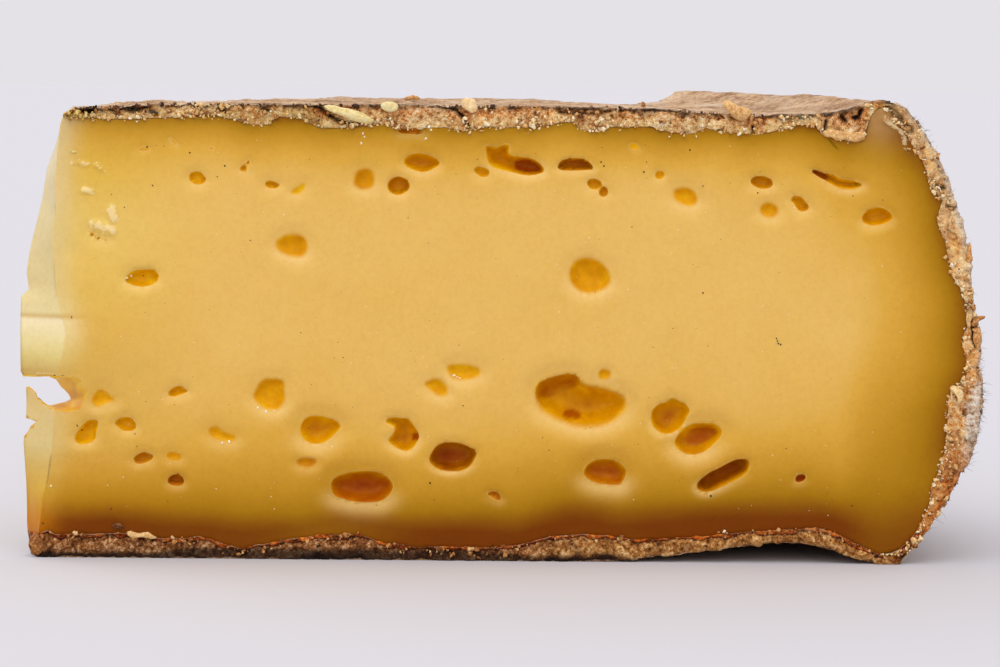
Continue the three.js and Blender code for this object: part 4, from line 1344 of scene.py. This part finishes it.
# %% Rind
# Cream beside the paste and tan outside, warmer and then frosted on the heel, green at the point
def cut_rind_colour(node, stored, grain, tone):
    inner = node("ValToRGB", [tone], stops=CREAM_FRAGMENTS)
    outer = node("ValToRGB", [tone], stops=TAN_FRAGMENTS)
    wander = node("Math", [grain["wander"], 0.8], operation="MULTIPLY")
    depth = node("Math", [stored["depth"], wander], operation="ADD")
    cut = node("Mix", [past(node, depth, 0.55, 2.2, clamp=True), inner, outer], data_type="RGBA")
    warm = node("ValToRGB", [tone], stops=WARM_HEEL)
    frosted = node("ValToRGB", [tone], stops=FROSTED_HEEL)
    heel = node("Mix", [past(node, depth, 0.88, 3.0, clamp=True), warm, frosted], data_type="RGBA")
    cut = node("Mix", [stored["heel"], cut, heel], data_type="RGBA")
    bright = node("Math", [stored["bright"], 0.5], operation="MULTIPLY")
    cut = node("Mix", [bright, cut, linear("#ffdca0")], data_type="RGBA")
    orange = node("Math", [past(node, grain["orange"], 0.42, 3.0, clamp=True), 0.6], operation="MULTIPLY")
    cut = node("Mix", [orange, cut, linear("#e88c38")], data_type="RGBA", blend_type="SOFT_LIGHT")
    moss = node("Math", [stored["moss"], 0.6], operation="MULTIPLY")
    return node("Mix", [moss, cut, linear("#c8b84c")], data_type="RGBA", blend_type="MULTIPLY")


# Cork brown, with an orange line beside the paste, and painted shadow, nearly black, underneath
def base_rind_colour(node, stored, grain, tone):
    dark = node("ValToRGB", [tone], stops=DARK_CORK)
    pale = node("ValToRGB", [tone], stops=PALE_CORK)
    cork = node("Mix", [stored["pale_cork"], dark, pale], data_type="RGBA")
    wander = node("Math", [grain["base"], 0.5], operation="MULTIPLY")
    wander = node("Math", [wander, 0.25], operation="SUBTRACT")
    depth = node("Math", [stored["depth"], wander], operation="ADD")
    band = node("ValToRGB", [depth], stops=BASE_BANDS_AND_PAINTED_SHADOW)
    banded = node("Mix", [1.0, cork, band], data_type="RGBA", blend_type="MULTIPLY")
    sole = node("Math", [stored["sole"], 0.85], operation="MULTIPLY")
    return node("Mix", [sole, banded, linear("#1e0e06")], data_type="RGBA")


# Brown to cream in fine and broad blotches, dusted with grey
def skin_colour(node, grain):
    speckle = node("Math", [grain["speckle"], 0.5], operation="MULTIPLY")
    blotch = node("Math", [grain["blotch"], 0.5], operation="MULTIPLY")
    blotch = node("Math", [speckle, blotch], operation="ADD")
    skin = node("ValToRGB", [blotch], stops=DRY_SKIN)
    dusted = node("Math", [past(node, grain["dust"], 0.5, 4.0, clamp=True), 0.4], operation="MULTIPLY")
    return node("Mix", [dusted, skin, linear("#b4a898")], data_type="RGBA")


# Painted shade in the cracks and hollows, the broken line under the skin, frost on the heel and
# black mould
def marks_on_rind(node, stored, grain, colour):
    painted_crack_shade = node("Math", [stored["crack"], 0.36], operation="MULTIPLY")
    colour = node("Mix", [painted_crack_shade, colour, linear("#94542a")], data_type="RGBA", blend_type="MULTIPLY")
    # Painted shade in the hollows
    colour = node("Mix", [stored["hollow"], colour, linear("#1e1006")], data_type="RGBA")
    broken = past(node, grain["broken"], 0.36, 5.0, clamp=True)
    for name, share, code in (("rim", 0.85, "#2c1a0e"), ("frost", 0.42, "#cfc0ac")):
        patch = node("Math", [stored[name], broken], operation="MULTIPLY")
        patch = node("Math", [patch, share], operation="MULTIPLY")
        colour = node("Mix", [patch, colour, linear(code)], data_type="RGBA")
    black = node("Math", [stored["mould"], 0.5], operation="MULTIPLY")
    black = node("Math", [black, grain["mould"]], operation="ADD")
    mould = node("ValToRGB", [grain["mould"]], stops=GREEN_BLACK_MOULD)
    return node("Mix", [past(node, black, 0.82, 7.0, clamp=True), colour, mould], data_type="RGBA")


def rind_material():
    material, shader, node = start_material("natural rind", RIND_FINISH)
    stored = stored_layers(node, RIND_LAYERS)
    grain = grains(node, RIND_GRAINS)
    fragments = node("Math", [grain["fragments"], 2.7], operation="MULTIPLY")
    tone = node("Math", [stored["tone"], 0.5], operation="MULTIPLY")
    tone = node("Math", [tone, fragments], operation="ADD")
    tone = node("Math", [tone, 1.02], operation="SUBTRACT", use_clamp=True)
    cut = cut_rind_colour(node, stored, grain, tone)
    base = base_rind_colour(node, stored, grain, tone)
    cut = node("Mix", [stored["low"], cut, base], data_type="RGBA")
    cut = node("Mix", [stored["foot"], cut, linear("#e8bc8c")], data_type="RGBA", blend_type="MULTIPLY")
    colour = node("Mix", [stored["skin"], cut, skin_colour(node, grain)], data_type="RGBA")
    colour = marks_on_rind(node, stored, grain, colour)
    rough = node("Math", [grain["rough"], grain["sandy"]], operation="ADD")
    bent = node("Bump", {"Height": rough, "Strength": 1.0, "Distance": 0.0003})
    material.node_tree.links.new(colour, shader.inputs["Base Color"])
    material.node_tree.links.new(bent, shader.inputs["Normal"])
    return material


rind.data.materials.append(rind_material())
print("rind nodes:", len(rind.data.materials[0].node_tree.nodes))

# %% [markdown]
# ## Crumbs, specks and fuzz
# The knife broke the dry rind, and its crumbs still hang along both edges and lie on the paste.
# Every crumb is a small closed lump of its own, a stretched and dented ball, so the edge stays
# ragged from close up. Each kind of crumb is one piece with many lumps in it.

# %% Lumps
def ball_shape(rounds):
    shape = bmesh.new()
    bmesh.ops.create_icosphere(shape, subdivisions=rounds, radius=1.0)
    verts = np.array([v.co[:] for v in shape.verts])
    faces = np.array([[v.index for v in f.verts] for f in shape.faces])
    shape.free()
    return verts, faces


# Random rotations as matrices, made from random quaternions
def random_turns(count, chance):
    q = chance.normal(size=(count, 4))
    w, a, b, c = (q / np.linalg.norm(q, axis=1)[:, None]).T
    rows = [(1 - 2 * (b * b + c * c), 2 * (a * b - c * w), 2 * (a * c + b * w)),
            (2 * (a * b + c * w), 1 - 2 * (a * a + c * c), 2 * (b * c - a * w)),
            (2 * (a * c - b * w), 2 * (b * c + a * w), 1 - 2 * (a * a + b * b))]
    return np.stack([np.stack(row, -1) for row in rows], 1)


# Stretched, turned and dented balls at the given spots, all in one mesh
def make_lumps(name, spots, sizes, tones, seed, rounds=2, dent=0.9):
    chance = np.random.default_rng(seed)
    verts, faces = ball_shape(rounds)
    count = len(spots)
    stretch = chance.uniform(0.4, 1.1, (count, 1, 3))
    body = np.einsum("nij,nvj->nvi", random_turns(count, chance), verts[None] * stretch)
    body = body * (1 + dent * noise(body + chance.uniform(0, 900, (count, 1, 3)), 0.6, seed))[..., None]
    body = body * np.asarray(sizes)[:, None, None] + np.asarray(spots)[:, None]
    number = (np.arange(count) * len(verts))[:, None, None]
    piece = make_object(name, body.reshape(-1, 3), (faces[None] + number).reshape(-1, 3), smooth=False)
    set_layer(piece, "tone", np.repeat(tones, len(verts)))
    spots = np.asarray(spots)
    set_layer(piece, "moss", np.repeat(moss_at(spots[:, 0]) * (spots[:, 2] > 40), len(verts)))
    return piece


print("a ball for a lump has", len(ball_shape(2)[1]), "faces")

# %% Crumbs along the rind's edges
# Places along one inner side of the rind; away is how far each lies from it, out into the rind
def beside(side, number, shares, away):
    places = walk(side, shares)
    places[:, 0] += away if number == 1 else 0
    places[:, 1] += 0 if number == 1 else (away if number == 2 else -away)
    return places


def edge_crumbs(counts, seed):
    chance = np.random.default_rng(seed)
    spots, tones, sizes = [], [], []
    for number, (side, count) in enumerate(zip((BASE_INNER, HEEL_INNER, TOP_INNER), counts)):
        shares = chance.random(4 * count)
        length = shares * path_lengths(side)[-1]
        clump = noise(np.stack([length, 0 * shares, 0 * shares + number], -1), 2.5, seed)
        shares = shares[clump > chance.uniform(-1.0, 0.4, len(clump))][:count]
        total = len(shares)
        away = np.where(chance.random(total) < 0.5, 0.24 * chance.normal(size=total) + 0.2,
                        chance.uniform(0, (1.2, 1.9, 1.9)[number], total))
        size = 0.075 + 0.24 * chance.random(total) ** 3
        x, z = walk(side, shares).T
        room = (z - base_height(x), side_radius(z) - x, top_height(x) - z)[number]
        away = np.minimum(away, room - 0.15)
        places = beside(side, number, shares, away)
        spots.append(np.stack([places[:, 0], chance.uniform(-0.3, 0.1, total), places[:, 1]], -1))
        sizes.append(size)
        warm = 0.3 if number == 0 else 0.0
        black = 0.6 * mould_at(places[:, 0]) * smoothstep(away, 0.4, 1.0) * (number == 2)
        tones.append(np.clip(chance.normal(0.66 - warm, 0.17, total) - 0.12 * away - black, 0, 0.87))
    return np.concatenate(spots), np.concatenate(sizes), np.concatenate(tones)


# How many crumbs hang along the base, the heel and the top, and how many faces each lump has
CRUMB_COUNTS = (360, 700, 1240)
LUMP_FACES = len(ball_shape(2)[1])
crumb_piece = make_lumps("rind_crumbs", *edge_crumbs(CRUMB_COUNTS, 17), 18)
print("rind crumbs:", len(crumb_piece.data.polygons) // LUMP_FACES)

# %% [markdown]
# Where the skin meets the cut it splits into dark scabs and bits of mould, along the top edge and
# down the heel. They are lumps too, darker, and they break the straight line of the edge.

# %% Scabs along the skin's edge
# Spots on the skin close behind the cut, with their sizes and how light they are
def skin_scabs(count, seed):
    chance = np.random.default_rng(seed)
    radius = chance.uniform(5, 95, count)
    heel_z = chance.uniform(2, 49, count)
    on_heel = chance.random(count) < 0.42
    back = chance.random(count) ** 2
    x = np.where(on_heel, side_radius(heel_z), radius)
    z = np.where(on_heel, heel_z, top_height(radius))
    angle = back * 2.4 / x
    size = 0.07 + 0.22 * chance.random(count) ** 2.5
    spots = np.stack([x * np.cos(angle), x * np.sin(angle) - 0.05, z - 0.1 * size], -1)
    dark = np.where(on_heel, chance.uniform(0.2, 1, count), chance.uniform(0, 0.7, count))
    return spots, size, dark


scab_piece = make_lumps("skin_scabs", *skin_scabs(520, 23), 24)
print("scabs:", len(scab_piece.data.polygons) // LUMP_FACES)

# %% [markdown]
# Fine dust of the black rind and pale grains of paste stick to the waxy cut, and two fibres lie
# on it. Some pale flecks stand where glints of light fall, as painted highlights. A ray finds the
# paste's real surface, so each speck sits on it and none floats.

# %% Specks on the paste
DARK_SPECKS = [(54.5, 375.4), (62.5, 375.4), (76.9, 425.5), (80.8, 430.8), (71.6, 317.3), (135, 434),
               (147, 146.7), (189.7, 152.6), (224.8, 165.7), (152.5, 185.5), (430, 483), (463, 405.7),
               (42.7, 523.4), (758, 193), (703, 186), (644, 172), (632, 227), (853, 196), (703, 293),
               (852, 506), (711, 496), (111, 509), (690, 150), (601, 162), (604, 166),
               (776.5, 338.5), (777.5, 341), (778.5, 343.5), (780.5, 344.5)]
# Pale flecks; some stand where glints of light fall, as painted highlights
PALE_FLECKS_AND_PAINTED_GLINTS = [(70, 151), (73, 151.8), (75, 152.3), (50.8, 486), (454, 376), (457, 377.5), (460, 378.5),
               (258, 408), (266, 412), (274, 411), (222, 443), (229, 442), (126, 278), (130, 276),
              (363, 133.5), (364.5, 137), (361, 143.5), (429, 127), (431, 130), (426, 138.5), (394, 127)]


# Where a ray from the front meets the paste, or nothing if it goes through the hole
def on_paste(u, z):
    hit, place, _, _ = paste.ray_cast(Vector((u, -4, z)), Vector((0, 1, 0)), distance=9)
    return np.array(place) if hit else None


def paste_specks(name, pixels, named_size, count, sizes, tones, seed):
    chance = np.random.default_rng(seed)
    places = [(*place, named_size) for place in on_cut(pixels)]
    places += [(chance.uniform(8, 97), chance.uniform(5, 46.5), chance.uniform(*sizes)) for _ in range(count)]
    found = [(on_paste(u, z), size) for u, z, size in places]
    found = [(spot, size) for spot, size in found if spot is not None]
    spots = np.array([spot for spot, _ in found])
    sizes = np.array([size for _, size in found])
    return make_lumps(name, spots, sizes, chance.uniform(*tones, len(spots)), seed, 1, 0.3)


bpy.context.view_layer.update()
speck_piece = paste_specks("dark_specks", DARK_SPECKS, 0.13, 170, (0.035, 0.08), (0.0, 0.35), 31)
fleck_and_glint_piece = paste_specks("pale_flecks_and_painted_glints", PALE_FLECKS_AND_PAINTED_GLINTS, 0.2, 150, (0.04, 0.09), (0.85, 1.0), 32)
SPECK_FACES = len(ball_shape(1)[1])
for speck_kind in (speck_piece, fleck_and_glint_piece):
    print(speck_kind.name, len(speck_kind.data.polygons) // SPECK_FACES)

# %% [markdown]
# Mould stands out from the skin as fine fuzz. It shows against the light round the heel. Every
# hair is a thin three-sided spindle, bent a little, with a sharp tip.

# %% Fuzz of mould
def make_hairs(name, roots, ways, bends, thickness):
    rings = np.array([0.0, 0.35, 0.7])
    count = len(roots)
    across = np.cross(ways, [0.3, 0.5, 0.8])
    across /= np.linalg.norm(across, axis=1)[:, None]
    other = np.cross(ways, across)
    other /= np.linalg.norm(other, axis=1)[:, None]
    verts = []
    for part in rings:
        middle = roots + ways * part + bends * part ** 2
        for angle in (0, 2 * np.pi / 3, 4 * np.pi / 3):
            radius = thickness[:, None] * (1 - 0.6 * part)
            verts.append(middle + radius * (across * math.cos(angle) + other * math.sin(angle)))
    verts.append(roots + ways + bends)
    verts = np.stack(verts, 1)
    faces = [(0, 2, 1)]
    for low in (0, 3):
        for a, b in ((0, 1), (1, 2), (2, 0)):
            faces += [(low + a, low + b, low + b + 3), (low + a, low + b + 3, low + a + 3)]
    faces += [(6, 7, 9), (7, 8, 9), (8, 6, 9)]
    number = (np.arange(count) * 10)[:, None, None]
    return make_object(name, verts.reshape(-1, 3), (np.array(faces)[None] + number).reshape(-1, 3))


def mould_fuzz(count, seed):
    chance = np.random.default_rng(seed)
    z = chance.uniform(1.5, 49.5, count)
    tufts = noise(np.stack([0 * z, 0 * z, z], -1), 3.0, seed)
    z = z[tufts > chance.uniform(-0.8, 0.35, count)]
    radius = side_radius(z) - 0.15
    angle = chance.random(len(z)) ** 1.5 * 0.09
    roots = np.stack([radius * np.cos(angle), radius * np.sin(angle), z], -1)
    length = chance.uniform(0.35, 1.1, len(z))
    ways = np.stack([np.cos(angle), np.sin(angle), 0 * z], -1) + 0.75 * chance.normal(size=(len(z), 3))
    ways *= (length / np.linalg.norm(ways, axis=1))[:, None]
    bends = 0.35 * length[:, None] * chance.normal(size=(len(z), 3))
    return roots, ways, bends, chance.uniform(0.02, 0.04, len(z))


fuzz_piece = make_hairs("mould_fuzz", *mould_fuzz(1500, 43))
HAIR_FACES = 16
print("hairs:", len(fuzz_piece.data.polygons) // HAIR_FACES)

# %% [markdown]
# A few larger chips lie on the edges: a pale splinter and a bit of bark on the top, a flake on
# the heel and one above the base. Each is traced, given a thickness and dented.

# %% Chips
CHIPS = [
    (0.92, -0.62, 0.5, [(323, 106), (332, 103.5), (345, 107), (360, 112), (373, 118), (376, 122),
        (368, 124), (352, 121), (338, 115), (326, 110)]),
    (0.95, -0.6, 0.6, [(380, 104), (386, 101), (395, 102), (400, 106), (397, 111), (388, 112),
        (382, 109)]),
    (0.55, -0.6, 1.6, [(722, 102), (728, 99.5), (736, 104), (746, 106), (753, 111), (752, 117),
        (746, 121), (737, 120), (730, 115), (724, 108)]),
    (0.7, -0.5, 0.6, [(948, 388), (953, 385), (960, 388), (965, 396), (962, 404), (957, 405),
        (958, 397), (953, 391)]),
    (0.6, -0.45, 0.5, [(125, 533), (131, 531), (138, 534), (146, 532), (153, 534), (159, 538),
        (150, 539), (141, 537.5), (133, 538)]),
    (0.26, -0.4, 1.0, [(28, 540), (33, 535), (40, 534), (44, 540), (44, 549), (39, 555), (31, 554),
        (27, 548)]),
    (0.12, -0.45, 0.6, [(112, 524), (117, 522), (124, 524), (126, 527), (119, 529), (113, 528)]),
    (0.72, -0.5, 0.9, [(463, 99), (468, 97), (471, 99), (474, 97.5), (478, 103), (477, 110),
        (472, 115), (467, 112), (462, 106)]),
    (0.3, -0.3, 0.6, [(640, 105), (641, 100.5), (644, 101), (646, 106), (642, 108)]),
    (0.4, 0.5, 1.0, [(402, 99.5), (407, 96), (413, 94.5), (419, 96.5), (421, 99.5), (413, 101.5)]),
    (0.42, 0.0, 0.7, [(966, 262), (968, 250), (969, 243), (971.5, 243), (971.5, 252), (972.5, 260),
        (970, 266)]),
    (0.38, -0.1, 0.7, [(972, 318), (977, 317.5), (986, 315.5), (984, 319), (979, 322), (975, 327),
        (972, 326)]),
    (0.45, -0.2, 0.8, [(974, 328), (979, 327), (981, 338), (980, 352), (976, 352), (973, 340)]),
    (0.36, 0.0, 0.6, [(935, 153), (937.5, 154), (941.5, 153), (939, 157), (941, 160), (936, 160)]),
    (0.55, -0.5, 0.8, [(822, 131), (828, 130), (834, 128), (841, 131.5), (850, 131), (857, 133),
        (864, 132), (866, 138), (860, 141), (853, 142.5), (846, 139.5), (838, 141.5), (831, 138),
        (826, 138)]),
]


# Each chip is its outline in four rings of growing depth, closed in front and behind
def make_chips(name, chips, seed):
    verts, faces, tones, greens = [], [], [], []
    for number, (tone, front, thick, pixels) in enumerate(chips):
        outline = rounded(on_cut(pixels), 1)
        middle = outline.mean(0)
        count, start = len(outline), sum(len(v) for v in verts)
        rings = [(0.45, 0.0), (0.85, 0.12), (1.0, 0.45), (0.8, 1.0)]
        places = [middle + (outline - middle) * share for share, _ in rings]
        block = [np.stack([p[:, 0], np.full(count, front + thick * deep), p[:, 1]], -1)
                 for p, (_, deep) in zip(places, rings)]
        block += [[(middle[0], front, middle[1])], [(middle[0], front + thick, middle[1])]]
        block = np.concatenate(block)
        dents = [rough_noise(block, 0.8, seed + 9 * number + axis) for axis in range(3)]
        block = block + 0.28 * np.stack(dents, -1)
        a = np.arange(count)
        b = (a + 1) % count
        for ring in range(len(rings) - 1):
            low, high = start + ring * count, start + (ring + 1) * count
            faces += [np.stack([low + a, high + b, low + b], -1), np.stack([low + a, high + a, high + b], -1)]
        last = start + (len(rings) - 1) * count
        end = start + len(rings) * count
        faces += [np.stack([0 * a + end, start + a, start + b], -1)]
        faces += [np.stack([0 * a + end + 1, last + b, last + a], -1)]
        verts.append(block)
        tones.append(np.full(len(block), tone))
        greens.append(np.full(len(block), 0.75 if number < 2 else 0.0))
    piece = make_object(name, np.concatenate(verts), np.concatenate(faces), smooth=False)
    set_layer(piece, "tone", np.concatenate(tones))
    set_layer(piece, "moss", np.concatenate(greens))
    return piece


chip_piece = make_chips("rind_chips", CHIPS, 61)
print("chips:", len(CHIPS))

# %% [markdown]
# ## Materials of the small pieces
# Crumbs and chips are bits of dry rind and curd, torn off by the knife. One material could be
# made for each, but they differ only in how dark they are, so one serves them all: its ramp runs
# from near black through brown and orange to cream by each lump's own tone. Scabs are dry skin
# with a greyer ramp. Fuzz is mould: a pale grey, thin and dull.

# %% Crumb and fuzz materials
# A dry bit shines a little on its broken faces, and light goes right through its thin edges
CRUMB_FINISH = {
    "Roughness": 0.7,
    "Specular IOR Level": 0.25,
    "Subsurface Weight": 0.15,
    "Subsurface Radius": (1.0, 0.6, 0.3),
    "Subsurface Scale": 0.0004,
}
# Fuzz scatters light in all directions, so it has hardly any shine
FUZZ_FINISH = {"Base Color": linear("#8f8880"), "Roughness": 0.8, "Specular IOR Level": 0.15}
CREAM_STOPS = [
    (0.0, "#2a160a"), (0.25, "#8a5222"), (0.45, "#c98e4e"), (0.65, "#e3bd80"), (0.85, "#f2dcae"),
    (1.0, "#fbf3df"),
]
SCAB_STOPS = [(0.0, "#1c140c"), (0.3, "#4a2d18"), (0.6, "#9a7350"), (0.85, "#cdb59a"), (1.0, "#e9e0d4")]


def crumb_material(name, stops):
    material, shader, node = start_material(name, CRUMB_FINISH)
    stored = stored_layers(node, "tone moss")
    grain = past(node, grains(node, {"broken": (0.3, 3, 0.7)})["broken"], 0.5, 0.9)
    tone = node("Math", [stored["tone"], grain], operation="ADD", use_clamp=True)
    colour = node("ValToRGB", [tone], stops=stops)
    moss = node("Math", [stored["moss"], 0.8], operation="MULTIPLY")
    colour = node("Mix", [moss, colour, linear("#d6c866")], data_type="RGBA", blend_type="MULTIPLY")
    material.node_tree.links.new(colour, shader.inputs["Base Color"])
    return material


crumb_look = crumb_material("rind crumb", CREAM_STOPS)
scab_look = crumb_material("skin scab", SCAB_STOPS)
fuzz_look, _, _ = start_material("mould fuzz", FUZZ_FINISH)
small_pieces = [(crumb_piece, crumb_look), (scab_piece, scab_look), (speck_piece, scab_look),
                (fleck_and_glint_piece, crumb_look), (fuzz_piece, fuzz_look), (chip_piece, crumb_look)]
for piece, look in small_pieces:
    piece.data.materials.append(look)
print("small pieces with a material:", len(small_pieces))

# %% [markdown]
# ## Place the pieces
# Each piece moves from the lesson's millimetres to the frame and rides the cheese's one body,
# and the CAD part is hidden.

# %% Into the frame
for piece in (paste, rind, *[piece for piece, _ in small_pieces]):
    to_frame(piece)
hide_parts("tomme_wedge")
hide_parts("tomme_wedge")

# %% [markdown]
# ## Floor, light and camera
# The cheese stands on a plain pale floor in a pale studio. One large soft light high in front
# gives the paste its veil, one overhead catches the lips of the eyes, and one behind the point
# makes its thin edge glow.

# %% Studio
# A white sun that shines one way; the wider its disc in degrees, the softer its shadows
def add_sun(name, toward, spread, power):
    lamp = bpy.data.lights.new(name, "SUN")
    lamp.angle = math.radians(spread)
    lamp.energy = power
    holder = place_object(name, lamp)
    holder.rotation_euler = Vector(toward).to_track_quat("-Z", "Y").to_euler()


floor_mesh = bpy.data.meshes.new("floor")
floor_mesh.from_pydata([(-3, -3, 0), (3, -3, 0), (3, 3, 0), (-3, 3, 0)], [], [(0, 1, 2, 3)])
floor = place_object("floor", floor_mesh)
# Matt card: it takes soft shadows and mirrors nothing
floor_look, _, _ = start_material("pale floor", {"Base Color": linear("#c6c4c8"), "Roughness": 0.9})
floor_mesh.materials.append(floor_look)
floor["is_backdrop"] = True

world = bpy.data.worlds.new("studio")
world.use_nodes = True
bpy.context.scene.world = world
set_sockets(world.node_tree.nodes["Background"], {"Color": linear("#e4e2e7"), "Strength": 1.0})
add_sun("soft front light", (0.1, 0.75, -0.55), 60, 1.0)
add_sun("overhead light", (0.0, 0.15, -1.0), 70, 0.9)
add_sun("back light", (0.6, -0.6, -0.45), 40, 0.6)

FILM_WIDTH = 36.0
lens = bpy.data.cameras.new("camera")
lens.sensor_width = FILM_WIDTH
lens.lens = FOCAL_PIXELS / PHOTO_SIZE[0] * FILM_WIDTH
camera = place_object("camera", lens)
camera.location = (np.array([CAMERA_ASIDE, -CAMERA_DISTANCE, CAMERA_HEIGHT]) + SHIFT) / 1000
camera.rotation_mode = "XYZ"
facing = Matrix.Rotation(math.pi / 2 - TILT, 4, "X") @ Matrix.Rotation(ROLL, 4, "Z")
camera.rotation_euler = facing.to_euler()
bpy.context.scene.camera = camera
bpy.context.scene.view_settings.view_transform = "Standard"
print("camera lens:", round(lens.lens, 1), "mm")

# %% Finish
# Turns vectors and boxes to plain lists, as JSON knows no others
def plain(value):
    if isinstance(value, dict):
        return {str(k): plain(v) for k, v in value.items()}
    if value is None or isinstance(value, str):
        return value
    return float(value) if isinstance(value, (int, float)) else [plain(v) for v in value]


{"start": plain(start_bounds), "end": plain(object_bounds())}
